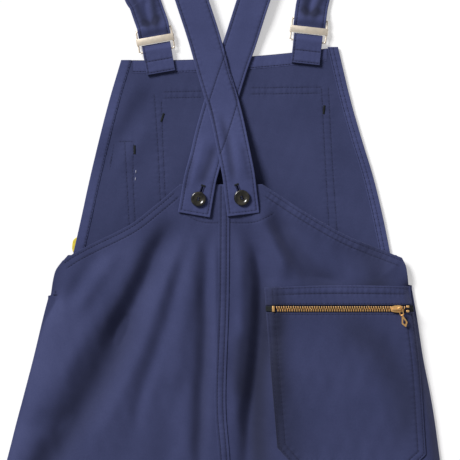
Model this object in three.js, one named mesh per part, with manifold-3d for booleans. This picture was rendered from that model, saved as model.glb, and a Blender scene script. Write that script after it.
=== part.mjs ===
// Bib overalls in heavy cotton moleskin, laid face down with the back up.
// Units are millimetres. +X is the wearer's right, +Y points from the hems to the shoulders,
// +Z points from the front of the garment to its back. The origin is the middle of the front
// waistband's outer face, which lies on the ground plane z = 0.

import * as THREE from "three";
import { mergeVertices } from "three/addons/utils/BufferGeometryUtils.js";
import Module from "manifold-3d";

const wasm = await Module();
wasm.setup();

// ---------------------------------------------------------------- driving dimensions

const CLOTH = 1.2; // one layer of moleskin
const LINING = 0.8; // pocket bags and facings
const GAP = 0.3; // air between pieces that are sewn face to face

const STRAP_WIDTH = 37;
const STRAP_THICKNESS = 2.0; // two layers of cloth
const TAB_WIDTH = 33;
const TAB_THICKNESS = 1.0;

const BUTTON = { radius: 9, height: 3.2, segments: 24 };
const SMALL_BUTTON = { radius: 7, height: 2.6, segments: 16 };

const BUCKLE = { width: 40.5, height: 25, wire: 1.0, segments: 10 }; // between wire centres
const PLATE = { height: 7.5, thickness: 1.0, curl: 1.0 };

const ZIP = { start: 53, end: 203, y: -63.4, pitch: 2.7, tooth: 1.0, half: 3.5, tape: 16 };

// Heights of the layers, from the ground up.
const FLOOR = 0;
const Z_BIB = FLOOR + CLOTH + GAP; // on top of the chest pocket and the waistband
const Z_FACING = Z_BIB + CLOTH + GAP; // hems of the bib, inside
const Z_ON_FACING = Z_FACING + LINING + GAP;
const Z_INSIDE = FLOOR + CLOTH + GAP; // on the inside of the front legs
const Z_BACK = 14; // underside of the back of the garment
const Z_ON_BACK = Z_BACK + CLOTH + GAP;
const FELL = 0.8; // extra height of a felled seam
const Z_STRAP_ON_BACK = Z_ON_BACK + FELL + GAP;
const Z_POCKET = Z_ON_BACK + 0.6 + GAP; // back pocket, on the zip tape

// ---------------------------------------------------------------- finishes

const cloth = (color, roughness) => new THREE.MeshStandardMaterial({ color, roughness, metalness: 0 });
const metal = (color, roughness) => new THREE.MeshStandardMaterial({ color, roughness, metalness: 1 });

const MOLESKIN = cloth(0x353a63, 0.9);
const LINING_CLOTH = cloth(0x30355a, 0.92);
const TAPE = cloth(0x232845, 0.85);
const THREAD = cloth(0x1c2138, 0.8);
const LABEL = cloth(0xe8d24a, 0.7);
const HORN = new THREE.MeshStandardMaterial({ color: 0x35332c, roughness: 0.3, metalness: 0 });
const BRASS = metal(0xc08a3e, 0.32);
const NICKEL = metal(0xd8cbb4, 0.3);

// ---------------------------------------------------------------- solid helpers

const garment = new THREE.Group();

/** Adds a named mesh to the garment. */
function add(name, geometry, material, parent = garment) {
  const mesh = new THREE.Mesh(geometry, material);
  mesh.name = name;
  parent.add(mesh);
  return mesh;
}

/** A closed outline from runs of points; a run of three or more points is a smooth curve. */
function outline(...runs) {
  const shape = new THREE.Shape();
  shape.moveTo(...runs[0][0]);
  for (const run of runs) {
    const rest = run.slice(1).map(([x, y]) => new THREE.Vector2(x, y));
    if (rest.length === 1) shape.lineTo(rest[0].x, rest[0].y);
    else shape.splineThru(rest);
  }
  return shape;
}

/** A flat layer of the given outline, with its underside at height z. */
function layer(shape, z, thickness, curveSegments = 2) {
  const geometry = new THREE.ExtrudeGeometry(shape, { depth: thickness, bevelEnabled: false, curveSegments });
  return geometry.translate(0, 0, z);
}

/** A manifold-3d solid from a closed geometry. */
function solidOf(geometry) {
  const bare = geometry.index ? geometry.toNonIndexed() : geometry.clone();
  bare.deleteAttribute("normal");
  bare.deleteAttribute("uv");
  const merged = mergeVertices(bare, 1e-4);
  return new wasm.Manifold(
    new wasm.Mesh({
      numProp: 3,
      vertProperties: merged.attributes.position.array,
      triVerts: new Uint32Array(merged.index.array),
    }),
  );
}

/** A geometry from a manifold-3d solid. */
function geometryOf(solid) {
  const { vertProperties, triVerts, numProp } = solid.getMesh();
  const position = new Float32Array((vertProperties.length / numProp) * 3);
  for (let i = 0; i < position.length / 3; i += 1) {
    for (let k = 0; k < 3; k += 1) position[3 * i + k] = vertProperties[numProp * i + k];
  }
  const geometry = new THREE.BufferGeometry();
  geometry.setAttribute("position", new THREE.BufferAttribute(position, 3));
  geometry.setIndex(new THREE.BufferAttribute(new Uint32Array(triVerts), 1));
  geometry.computeVertexNormals();
  return geometry;
}

/** One geometry from several that touch or overlap. */
function joined(...geometries) {
  return geometryOf(geometries.map(solidOf).reduce((a, b) => a.add(b)));
}

/** The first geometry with the others cut out of it. */
function cut(body, ...tools) {
  return geometryOf(tools.map(solidOf).reduce((a, b) => a.subtract(b), solidOf(body)));
}

/** A box with its centre at the given point. */
function box(width, depth, height, x, y, z) {
  return new THREE.BoxGeometry(width, depth, height).translate(x, y, z);
}

/** A round bar from one point to another. */
function bar(from, to, radius, segments = 10) {
  const a = new THREE.Vector3(...from);
  const b = new THREE.Vector3(...to);
  const along = b.clone().sub(a);
  const turn = new THREE.Quaternion().setFromUnitVectors(new THREE.Vector3(0, 1, 0), along.clone().normalize());
  const middle = a.clone().add(b).multiplyScalar(0.5);
  return new THREE.CylinderGeometry(radius, radius, along.length(), segments)
    .applyQuaternion(turn)
    .translate(middle.x, middle.y, middle.z);
}

/**
 * A solid band of rectangular section. Each station is { p, w }: the section's centre and the
 * horizontal direction of its width. The thickness stands square to the path.
 */
function band(stations, width, thickness) {
  const positions = [];
  const index = [];
  stations.forEach(({ p, w }, i) => {
    const before = stations[Math.max(i - 1, 0)].p;
    const after = stations[Math.min(i + 1, stations.length - 1)].p;
    const along = after.clone().sub(before).normalize();
    const side = w.clone().setLength(width / 2);
    const up = new THREE.Vector3().crossVectors(side, along).setLength(thickness / 2);
    for (const [a, b] of [[1, 1], [-1, 1], [-1, -1], [1, -1]]) {
      positions.push(...p.clone().addScaledVector(side, a).addScaledVector(up, b).toArray());
    }
  });
  const quad = (a, b, c, d) => index.push(a, b, c, a, c, d);
  for (let i = 0; i < stations.length - 1; i += 1) {
    for (let k = 0; k < 4; k += 1) {
      const next = (k + 1) % 4;
      quad(4 * i + k, 4 * i + 4 + k, 4 * i + 4 + next, 4 * i + next);
    }
  }
  const last = 4 * (stations.length - 1);
  quad(0, 1, 2, 3);
  quad(last + 3, last + 2, last + 1, last);
  const geometry = new THREE.BufferGeometry();
  geometry.setAttribute("position", new THREE.Float32BufferAttribute(positions, 3));
  geometry.setIndex(index);
  geometry.computeVertexNormals();
  return geometry;
}

/** Stations along a smooth curve, with the width to the right of the way it runs, or to the left. */
function stationsAlong(points, count, toTheRight = true) {
  const curve = new THREE.CatmullRomCurve3(points.map((p) => new THREE.Vector3(...p)), false, "centripetal");
  return Array.from({ length: count + 1 }, (_, i) => {
    const along = curve.getTangentAt(i / count);
    const turn = toTheRight ? 1 : -1;
    return { p: curve.getPointAt(i / count), w: new THREE.Vector3(turn * along.y, -turn * along.x, 0).normalize() };
  });
}

/** A wall of the given height that stands along a curve on the ground plane. */
function wall(points, z, height, thickness, count) {
  const stations = stationsAlong(points.map(([x, y]) => [x, y, z + height / 2]), count);
  return band(stations, thickness, height);
}

// ---------------------------------------------------------------- outlines of the garment

// The bib: side edges from the top corner down to the waist.
const BIB_LEFT = [[-123, 223], [-136, 178], [-148, 132], [-159, 86], [-169, 40], [-178, 0]];
const BIB_RIGHT = [[126, 237], [140, 178], [153, 132], [167, 86], [178, 40], [186, 0]];
const BIB_TOP_MIDDLE = [0, 225];

// The back: from the flat top beside the straps, down the armhole to the side vent.
const ARMHOLE_LEFT = [[-55, 79], [-84, 54.5], [-113, 32.5], [-155, 11.5], [-176, 0.5], [-190, -8.5]];
const ARMHOLE_RIGHT = [[39, 79], [62, 64], [88, 47], [134, 21], [181, 2], [199, -5]];
const VENT_LEFT = [[-190, -8.5], [-197.5, -19], [-201, -31], [-204, -48]];
const VENT_RIGHT = [[199, -5], [204.5, -14], [207, -25], [208, -36]];

// Side seams from the vent to the hem, and the seat seam from the top to the crotch.
const HEM_Y = -1040;
const SIDE_LEFT = [[-207, -52], [-213, -75], [-224, -121], [-236, -167], [-248, -213], [-271, -310], [-284, -420]];
const SIDE_RIGHT = [[211, -41], [217, -75], [224, -121], [233, -167], [240, -213], [252, -310], [262, -420]];
const HEM_LEFT = { outer: -292, inner: -64 };
const HEM_RIGHT = { outer: 272, inner: 46 };
const SEAT = [[0, 79], [-1, -52], [-4.6, -167], [0, -236], [2, -310]];
const CROTCH = [2, -310];
const INSEAM_LEFT = [CROTCH, [-9, -345], [-24, -460]];
const INSEAM_RIGHT = [CROTCH, [12, -345], [24, -460]];
const SEAM = GAP / 2; // half the gap between panels that meet edge to edge
const VENT_FOOT = -52;
const WAIST_HALF = 18; // half the height of the front waistband

const shifted = (points, dx) => points.map(([x, y]) => [x + dx, y]);
const reversed = (points) => [...points].reverse();

/** One back panel, from the top edge to the hem. */
function backPanel(side, armhole, vent, hem, inseam, towards) {
  const seat = shifted(SEAT, towards * SEAM);
  const inner = shifted(inseam, towards * SEAM);
  return outline(
    [seat[0], armhole[0]],
    armhole,
    vent,
    [vent.at(-1), side[0]],
    side,
    [side.at(-1), [hem.outer, HEM_Y]],
    [[hem.outer, HEM_Y], [hem.inner, HEM_Y]],
    [[hem.inner, HEM_Y], inner.at(-1)],
    reversed(inner),
    reversed(seat),
  );
}

/** One front panel, from the waistband to the hem, with the side vent left out. */
function frontPanel(side, ventX, hem, inseam, towards) {
  const inner = shifted(inseam, towards * SEAM);
  const top = -WAIST_HALF - GAP;
  return outline(
    [[towards * SEAM, top], [ventX, top]],
    [[ventX, top], [ventX, VENT_FOOT]],
    [[ventX, VENT_FOOT], side[0]],
    side,
    [side.at(-1), [hem.outer, HEM_Y]],
    [[hem.outer, HEM_Y], [hem.inner, HEM_Y]],
    [[hem.inner, HEM_Y], inner.at(-1)],
    reversed(inner),
    [inner[0], [towards * SEAM, top]],
  );
}

// ---------------------------------------------------------------- front of the garment

function buildBib() {
  const bib = outline(
    [BIB_LEFT[0], BIB_TOP_MIDDLE, BIB_RIGHT[0]],
    BIB_RIGHT,
    [BIB_RIGHT.at(-1), [187, -10]],
    [[187, -10], [-180, -10]],
    [[-180, -10], BIB_LEFT.at(-1)],
    reversed(BIB_LEFT),
  );
  add("front_bib", layer(bib, Z_BIB, CLOTH, 3), MOLESKIN);

  const sideHem = 13;
  const topHem = 14;
  add(
    "bib_side_facing_left",
    layer(outline(BIB_LEFT, [BIB_LEFT.at(-1), [-178 + sideHem, 0]], reversed(shifted(BIB_LEFT, sideHem))),
      Z_FACING, LINING),
    LINING_CLOTH,
  );
  add(
    "bib_side_facing_right",
    layer(outline(BIB_RIGHT, [BIB_RIGHT.at(-1), [186 - sideHem, 0]], reversed(shifted(BIB_RIGHT, -sideHem))),
      Z_FACING, LINING),
    LINING_CLOTH,
  );
  const left = [BIB_LEFT[0][0] + sideHem + GAP, BIB_LEFT[0][1]];
  const right = [BIB_RIGHT[0][0] - sideHem - GAP, BIB_RIGHT[0][1] - 1.5];
  add(
    "bib_top_facing",
    layer(
      outline(
        [left, BIB_TOP_MIDDLE, right],
        [right, [right[0] + 2, right[1] - topHem]],
        [[right[0] + 2, right[1] - topHem], [0, BIB_TOP_MIDDLE[1] - topHem], [left[0] - 2, left[1] - topHem]],
        [[left[0] - 2, left[1] - topHem], left],
      ),
      Z_FACING,
      LINING,
      4,
    ),
    LINING_CLOTH,
  );

  const pocket = (points) => outline(...points.map((p, i) => [p, points[(i + 1) % points.length]]));
  add("chest_pocket", layer(pocket([[-85, 189], [113, 193], [124, 26], [112, 20], [-72, 20], [-82, 26]]), FLOOR, CLOTH),
    MOLESKIN);
  add("pen_pocket_left", layer(pocket([[-133, 132], [-106, 131], [-104, 20], [-152, 20]]), FLOOR, CLOTH), MOLESKIN);
  add("pen_pocket_right", layer(pocket([[116, 167], [133, 170], [161, 20], [126, 20]]), FLOOR, CLOTH), MOLESKIN);
}

function buildFrontLegs() {
  add(
    "front_waistband",
    layer(outline([[-166, -WAIST_HALF], [174, -WAIST_HALF]], [[174, -WAIST_HALF], [176, WAIST_HALF]],
      [[176, WAIST_HALF], [-168, WAIST_HALF]], [[-168, WAIST_HALF], [-166, -WAIST_HALF]]), FLOOR, CLOTH),
    MOLESKIN,
  );
  add("front_leg_left", layer(frontPanel(SIDE_LEFT, -166, HEM_LEFT, INSEAM_LEFT, -1), FLOOR, CLOTH), MOLESKIN);
  add("front_leg_right", layer(frontPanel(SIDE_RIGHT, 174, HEM_RIGHT, INSEAM_RIGHT, 1), FLOOR, CLOTH), MOLESKIN);

  const bag = (m) => outline([[m * 60, -24], [m * 150, -24]], [[m * 150, -24], [m * 160, -90], [m * 158, -180]],
    [[m * 158, -180], [m * 140, -232], [m * 100, -240], [m * 66, -214]], [[m * 66, -214], [m * 60, -24]]);
  add("hip_pocket_bag_left", layer(bag(-1), Z_INSIDE, LINING), LINING_CLOTH);
  add("hip_pocket_bag_right", layer(bag(1), Z_INSIDE, LINING), LINING_CLOTH);
}

/** A sewn-through button with a raised rim and four holes, standing on height z. */
function button({ radius, height, segments }, x, y, z) {
  const rim = 0.16 * radius;
  const profile = [
    [0, 0], [0.72 * radius, 0], [radius, 0.35 * height], [radius, 0.7 * height], [radius - rim, height],
    [radius - 2 * rim, height], [radius - 3 * rim, 0.72 * height], [0, 0.66 * height],
  ].map(([r, h]) => new THREE.Vector2(r, h));
  const disc = new THREE.LatheGeometry(profile, segments).rotateX(Math.PI / 2);
  const holes = [[1, 1], [-1, 1], [-1, -1], [1, -1]].map(([i, j]) =>
    new THREE.CylinderGeometry(0.11 * radius, 0.11 * radius, 3 * height, 8)
      .rotateX(Math.PI / 2)
      .translate(i * 0.19 * radius, j * 0.19 * radius, 0));
  return cut(disc, ...holes).translate(x, y, z);
}

function buildFastenings() {
  add("fly_shield", layer(outline([[-20, -24], [24, -24]], [[24, -24], [24, -150]],
    [[24, -150], [18, -180], [2, -196]], [[2, -196], [-20, -196]], [[-20, -196], [-20, -24]]), Z_INSIDE, CLOTH),
  MOLESKIN);
  [-48, -92, -136].forEach((y, i) => {
    add(`fly_button_${i + 1}`, button(SMALL_BUTTON, 4, y, Z_INSIDE + CLOTH + GAP), HORN);
  });

  const flap = SMALL_BUTTON.height + 2 * GAP;
  const placket = (edge, x) => outline([[x, 0], edge[0]], edge, [edge.at(-1), [x, VENT_FOOT + 2]],
    [[x, VENT_FOOT + 2], [x, 0]]);
  const edges = {
    left: { x: -150, edge: [[-184, -2], [-196, -18], [-201, -48]], button: -183 },
    right: { x: 156, edge: [[193, -2], [203, -16], [206, -48]], button: 190 },
  };
  for (const [side, { x, edge, button: at }] of Object.entries(edges)) {
    add(`side_placket_${side}`, layer(placket(edge, x), flap, CLOTH), MOLESKIN);
    [-18, -39].forEach((y, i) => {
      add(`side_button_${side}_${i + 1}`, button(SMALL_BUTTON, at, y, FLOOR), HORN);
    });
  }
}

// ---------------------------------------------------------------- back of the garment

function buildBack() {
  add("back_leg_left", layer(backPanel(SIDE_LEFT, ARMHOLE_LEFT, VENT_LEFT, HEM_LEFT, INSEAM_LEFT, -1), Z_BACK, CLOTH),
    MOLESKIN);
  add("back_leg_right",
    layer(backPanel(SIDE_RIGHT, ARMHOLE_RIGHT, VENT_RIGHT, HEM_RIGHT, INSEAM_RIGHT, 1), Z_BACK, CLOTH), MOLESKIN);

  const hem = 16;
  const reinforced = 41; // depth of the facing behind the buttons
  const inner = (points, side) => points.slice(1).map(([x, y]) => [x - side * hem * 0.45, y - hem * 0.9]);
  const left = inner(ARMHOLE_LEFT, -1);
  const right = inner(ARMHOLE_RIGHT, 1);
  add(
    "back_top_facing",
    layer(
      outline(
        [[39, 79], [-55, 79]],
        ARMHOLE_LEFT,
        [ARMHOLE_LEFT.at(-1), left.at(-1)],
        reversed(left),
        [left[0], [-48, 79 - reinforced]],
        [[-48, 79 - reinforced], [34, 79 - reinforced]],
        [[34, 79 - reinforced], right[0]],
        right,
        [right.at(-1), ARMHOLE_RIGHT.at(-1)],
        reversed(ARMHOLE_RIGHT),
      ),
      Z_BACK - GAP - LINING,
      LINING,
    ),
    LINING_CLOTH,
  );

  const fell = 11;
  const ridge = SEAT.map(([x, y]) => [x - fell / 2 - 1, y]);
  const first = [ridge[0][0], ridge[0][1] - 1];
  add("seat_seam", band(stationsAlong([first, ...ridge.slice(1)].map(([x, y]) => [x, y, Z_ON_BACK + FELL / 2]), 24),
    fell, FELL), MOLESKIN);
}

function buildSeams() {
  const height = Z_BACK - GAP - Z_INSIDE;
  const thickness = 2;
  const outer = (side, hem, towards) => [...side, [hem.outer, HEM_Y]].map(([x, y]) => [x - 1.5 * towards, y]);
  const inner = (inseam, hem, towards) =>
    [...inseam.slice(1), [hem.inner, HEM_Y]].map(([x, y]) => [x + 1.5 * towards, y]);
  const seam = (name, points) => add(name, wall(points, Z_INSIDE, height, thickness, 20), MOLESKIN);
  seam("outseam_left", outer(SIDE_LEFT, HEM_LEFT, -1));
  seam("outseam_right", outer(SIDE_RIGHT, HEM_RIGHT, 1));
  seam("inseam_left", inner(INSEAM_LEFT, HEM_LEFT, -1));
  seam("inseam_right", inner(INSEAM_RIGHT, HEM_RIGHT, 1));
}

// ---------------------------------------------------------------- back pocket and its zip

const POCKET = {
  left: [[42, -39], [45, -82], [50, -137], [57, -222]],
  right: [[209, -38], [214, -82], [220, -137], [226, -230]],
  foot: [[79, -247], [203, -252]],
};
const MOUTH = 6; // half the width of the slot that the zip shows through

/** The pocket edge's x at height y, on a straight line between its two nearest points. */
function edgeAt(points, y) {
  const i = points.findIndex(([, low], k) => k > 0 && low <= y);
  const [[x0, y0], [x1, y1]] = [points[i - 1], points[i]];
  return x0 + ((x1 - x0) * (y - y0)) / (y1 - y0);
}

function buildBackPocket() {
  const { left, right, foot } = POCKET;
  const upper = ZIP.y + MOUTH;
  const lower = ZIP.y - MOUTH;
  add(
    "back_pocket_band",
    layer(outline([left[0], [130, -41], right[0]], [right[0], [edgeAt(right, upper), upper]],
      [[edgeAt(right, upper), upper], [edgeAt(left, upper), upper]], [[edgeAt(left, upper), upper], left[0]]),
    Z_POCKET, CLOTH, 3),
    MOLESKIN,
  );
  const start = [edgeAt(left, lower), lower];
  const end = [edgeAt(right, lower), lower];
  add(
    "back_pocket_bag",
    layer(outline([start, ...left.slice(1)], [left.at(-1), foot[0]], [foot[0], foot[1]], [foot[1], right.at(-1)],
      [end, ...right.slice(1)].reverse(), [end, start]), Z_POCKET, CLOTH),
    MOLESKIN,
  );
}

/** A row of zip teeth on a cord; side is 1 above the middle of the zip and -1 below it. */
function teeth(side) {
  const { start, end, pitch, tooth, half, y } = ZIP;
  const offset = side > 0 ? 0 : pitch / 2;
  const root = 2.4;
  const reach = -0.7; // each tooth passes the middle, into the gap between two others
  const shape = new THREE.Shape();
  shape.moveTo(start, y + side * half);
  shape.lineTo(start, y + side * root);
  for (let x = start + 2 + offset; x + tooth < end - 2; x += pitch) {
    shape.lineTo(x, y + side * root);
    shape.lineTo(x, y + side * reach);
    shape.lineTo(x + tooth, y + side * reach);
    shape.lineTo(x + tooth, y + side * root);
  }
  shape.lineTo(end, y + side * root);
  shape.lineTo(end, y + side * half);
  return layer(shape, Z_POCKET, 2.0);
}

function buildZip() {
  const { start, end, y, tape, half } = ZIP;
  const strip = (low, high) => box(end - start + 14, high - low, 0.6, (start + end) / 2, (low + high) / 2,
    Z_ON_BACK + 0.3);
  add("zip_tape_upper", strip(y + GAP / 2, y + tape), TAPE);
  add("zip_tape_lower", strip(y - tape, y - GAP / 2), TAPE);
  add("zip_teeth_upper", teeth(1), BRASS);
  add("zip_teeth_lower", teeth(-1), BRASS);
  add("zip_bottom_stop", box(3, 2 * half, 2.4, start - 2, y, Z_POCKET + 1.2), BRASS);
  add("zip_top_stop_upper", box(3, 2.6, 2.4, end + 2, y + half - 0.6, Z_POCKET + 1.2), BRASS);
  add("zip_top_stop_lower", box(3, 2.6, 2.4, end + 2, y - half + 0.6, Z_POCKET + 1.2), BRASS);
}

// The slider stands at the right-hand end of the zip, which is closed.
const SLIDER = { x: 192, length: 13, width: 10.4, wall: 1.2, roof: 1.2 };
const SLIDER_ROOF = Z_POCKET + 2.0 + GAP; // underside of the slider's top plate

function buildSlider() {
  const { x, length, width, wall: side, roof } = SLIDER;
  const y = ZIP.y;
  const shield = outline(
    [[x - length / 2, y - width / 2 + 1.6], [x - length / 2 + 2, y - width / 2 + 0.4], [x + length / 2 - 4, y - width / 2]],
    [[x + length / 2 - 4, y - width / 2], [x + length / 2, y - width / 2 + 3]],
    [[x + length / 2, y - width / 2 + 3], [x + length / 2, y + width / 2 - 3]],
    [[x + length / 2, y + width / 2 - 3], [x + length / 2 - 4, y + width / 2]],
    [[x + length / 2 - 4, y + width / 2], [x - length / 2 + 2, y + width / 2 - 0.4], [x - length / 2, y + width / 2 - 1.6]],
    [[x - length / 2, y + width / 2 - 1.6], [x - length / 2, y - width / 2 + 1.6]],
  );
  const top = SLIDER_ROOF + roof;
  const flange = (s) => box(length - 5, side, 2.6, x - 0.5, y + s * (width / 2 - side / 2), SLIDER_ROOF - 1.0);
  const post = (s) => box(POST.width, POST.depth, POST.height, x + s * POST.offset, y, top + POST.height / 2 - 0.1);
  const bridge = box(2 * POST.offset + POST.width, POST.depth, 1, x, y, top + POST.height - 0.1);
  add(
    "zip_slider",
    joined(layer(shield, SLIDER_ROOF, roof), flange(1), flange(-1), post(1), post(-1), bridge),
    BRASS,
  );
}

const PULL = { swing: 18, tilt: -5, link: 9.6, wire: 0.45, width: 3.9, length: 13.5, spread: 7 };
const POST = { offset: 4.1, width: 1.3, depth: 1.6, height: 2.4 };

/** The ring round the slider's front post, under its bridge, and the lozenge pull that hangs from the ring. */
function buildPull() {
  const hang = new THREE.Group();
  hang.position.set(SLIDER.x + POST.offset, ZIP.y, SLIDER_ROOF + SLIDER.roof + 0.9);
  hang.rotation.set(0, 0, THREE.MathUtils.degToRad(PULL.swing));
  garment.add(hang);
  const lean = new THREE.Group();
  lean.rotation.x = THREE.MathUtils.degToRad(-PULL.tilt);
  hang.add(lean);

  const { link, wire, width, length, spread } = PULL;
  const top = 2.0;
  const foot = top - link;
  const half = width / 2;
  add(
    "pull_link",
    joined(
      bar([-half, top, 0], [half, top, 0], wire, 8),
      bar([-half, foot, 0], [half, foot, 0], wire, 8),
      bar([-half, top + wire, 0], [-half, foot - wire, 0], wire, 8),
      bar([half, top + wire, 0], [half, foot - wire, 0], wire, 8),
    ),
    BRASS,
    lean,
  );

  const lozenge = (s, grow) => {
    const y = foot - 1.2;
    return outline(
      [[-0.8 * s, y + grow], [-spread * s / 2, y - 0.62 * length * s]],
      [[-spread * s / 2, y - 0.62 * length * s], [0, y - length * s]],
      [[0, y - length * s], [spread * s / 2, y - 0.62 * length * s]],
      [[spread * s / 2, y - 0.62 * length * s], [0.8 * s, y + grow]],
      [[0.8 * s, y + grow], [-0.8 * s, y + grow]],
    );
  };
  const plate = new THREE.ExtrudeGeometry(lozenge(1, 0.4), { depth: 1, bevelEnabled: false }).translate(0, 0, -0.5);
  const hole = outline([[0, foot - 4], [-1.9, foot - 8.2]], [[-1.9, foot - 8.2], [0, foot - 11.4]],
    [[0, foot - 11.4], [1.9, foot - 8.2]], [[1.9, foot - 8.2], [0, foot - 4]]);
  const window = new THREE.ExtrudeGeometry(hole, { depth: 3, bevelEnabled: false }).translate(0, 0, -1.5);
  const barrel = bar([-1.1, foot, 0], [1.1, foot, 0], 1.25, 14);
  add("pull_tab", cut(joined(plate, barrel), window, bar([-2, foot, 0], [2, foot, 0], 0.8, 12)), BRASS, lean);
}

// ---------------------------------------------------------------- straps, buckles and buttons

const BUTTON_LEFT = { x: -34, y: 62 };
const BUTTON_RIGHT = { x: 15.5, y: 63.5 };
const STRAP_CLEAR = STRAP_THICKNESS / 2;

// Heights of a strap's middle: on the back, over the bib, over the other strap, and on the ground.
const Z_ON_SEAT = Z_STRAP_ON_BACK + STRAP_CLEAR;
const Z_OVER_BIB = Z_ON_FACING + 0.3 + STRAP_CLEAR;
const Z_OVER_STRAP = Z_OVER_BIB + STRAP_THICKNESS + GAP;
const Z_GROUND_RUN = GAP + STRAP_CLEAR;
const FOLD_RADIUS = 1.4;
const Z_UPPER_RUN = Z_GROUND_RUN + 2 * FOLD_RADIUS;

// Each strap runs from its button up across the back to a fold at the shoulder, and down to its buckle.
// The strap that ends at the left buckle lies on top where the two cross.
const STRAPS = {
  left: {
    back: [[17.3, 44.2, Z_ON_SEAT], [14.3, 69, Z_ON_SEAT], [12, 88, Z_ON_SEAT], [9, 104, 16.6], [5, 124, 12.8],
      [0, 148, 9.8], [-6, 172, Z_OVER_STRAP + 0.3], [-16, 205, Z_OVER_STRAP], [-28, 248, Z_OVER_STRAP - 0.4],
      [-43, 294, Z_UPPER_RUN], [-96, 462, Z_UPPER_RUN]],
    front: [[-96, 462, Z_GROUND_RUN], [-103, 408, Z_GROUND_RUN], [-102, 351, Z_GROUND_RUN]],
    buckle: { x: -83.8, y: 245.1, turn: 10 },
    button: BUTTON_RIGHT,
    hole: 6,
  },
  right: {
    back: [[-39.1, 44, Z_ON_SEAT], [-35, 68, Z_ON_SEAT], [-31.5, 87, Z_ON_SEAT], [-28, 100, 15.2], [-24.5, 114, 10.8],
      [-20, 134, 7.2], [-14, 156, Z_OVER_BIB + 0.2], [-8, 176, Z_OVER_BIB], [4, 215, Z_OVER_BIB],
      [14.5, 245, Z_OVER_BIB - 0.4], [30, 293, Z_UPPER_RUN], [90, 466, Z_UPPER_RUN]],
    front: [[90, 466, Z_GROUND_RUN], [105, 408, Z_GROUND_RUN], [104, 351, Z_GROUND_RUN]],
    buckle: { x: 92.6, y: 255.8, turn: -6.3 },
    button: BUTTON_LEFT,
    hole: -13,
  },
};
const CUT_AT = 46; // where a strap's buckled end begins, from the middle of the buckle
const FRAME_Z = 4.4; // height of the buckle's wire
const PLATE_Z = FRAME_Z + BUCKLE.wire + GAP;

/** A point of the buckle's own frame, u across the strap and v along it, in the garment's frame. */
function onBuckle({ x, y, turn }, u, v, z) {
  const a = THREE.MathUtils.degToRad(turn);
  return [x + u * Math.cos(a) - v * Math.sin(a), y + u * Math.sin(a) + v * Math.cos(a), z];
}

/** A band along a buckle's middle line, through points given as [v, z]. */
function bandOnBuckle(buckle, points, width, thickness) {
  const a = THREE.MathUtils.degToRad(buckle.turn);
  const w = new THREE.Vector3(Math.cos(a), Math.sin(a), 0);
  const stations = points.map(([v, z]) => ({ p: new THREE.Vector3(...onBuckle(buckle, 0, v, z)), w }));
  return band(stations, width, thickness);
}

function buildStrap(side) {
  const { back, front, buckle, button: at, hole } = STRAPS[side];
  const up = stationsAlong(back, 34);
  const approach = onBuckle(buckle, 0, CUT_AT + GAP + 14, Z_GROUND_RUN);
  const down = stationsAlong([...front, approach, onBuckle(buckle, 0, CUT_AT + GAP, Z_GROUND_RUN)], 14, false);

  // At the shoulder the strap turns over a line that is square to the mean of its two runs.
  const crease = up.at(-1).w.clone().add(down[0].w).normalize();
  const outward = new THREE.Vector3(-crease.y, crease.x, 0);
  const top = up.at(-1).p;
  const turns = [15, 50, 90, 130, 165].map((angle) => {
    const a = THREE.MathUtils.degToRad(angle);
    const p = new THREE.Vector3(top.x, top.y, (Z_UPPER_RUN + Z_GROUND_RUN) / 2 + FOLD_RADIUS * Math.cos(a));
    return { p: p.addScaledVector(outward, FOLD_RADIUS * Math.sin(a)), w: crease };
  });
  up.at(-1).w = crease.clone();
  down[0].w = crease.clone();
  const strip = band([...up, ...turns, ...down], STRAP_WIDTH, STRAP_THICKNESS);

  // The buttonhole is a slot along the strap, from the button's shank towards the shoulder.
  const slot = 18;
  const width = 4.4;
  const opening = joined(
    box(width, slot, 12, 0, slot / 2, 0),
    new THREE.CylinderGeometry(width / 2, width / 2, 12, 12).rotateX(Math.PI / 2),
    new THREE.CylinderGeometry(width / 2, width / 2, 12, 12).rotateX(Math.PI / 2).translate(0, slot, 0),
  );
  opening.rotateZ(THREE.MathUtils.degToRad(hole)).translate(at.x, at.y, Z_ON_SEAT);
  add(`strap_${side}`, cut(strip, opening), MOLESKIN);

  const end = [[CUT_AT, Z_GROUND_RUN], [30, Z_GROUND_RUN], [22, 3.6], [16.5, 6.2], [12.5, 6.9], [9.4, 6.2], [5.2, 4.0],
    [2.6, 3.7]];
  add(`strap_end_${side}`, bandOnBuckle(buckle, end, STRAP_WIDTH, 1.8), MOLESKIN);
}

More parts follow.
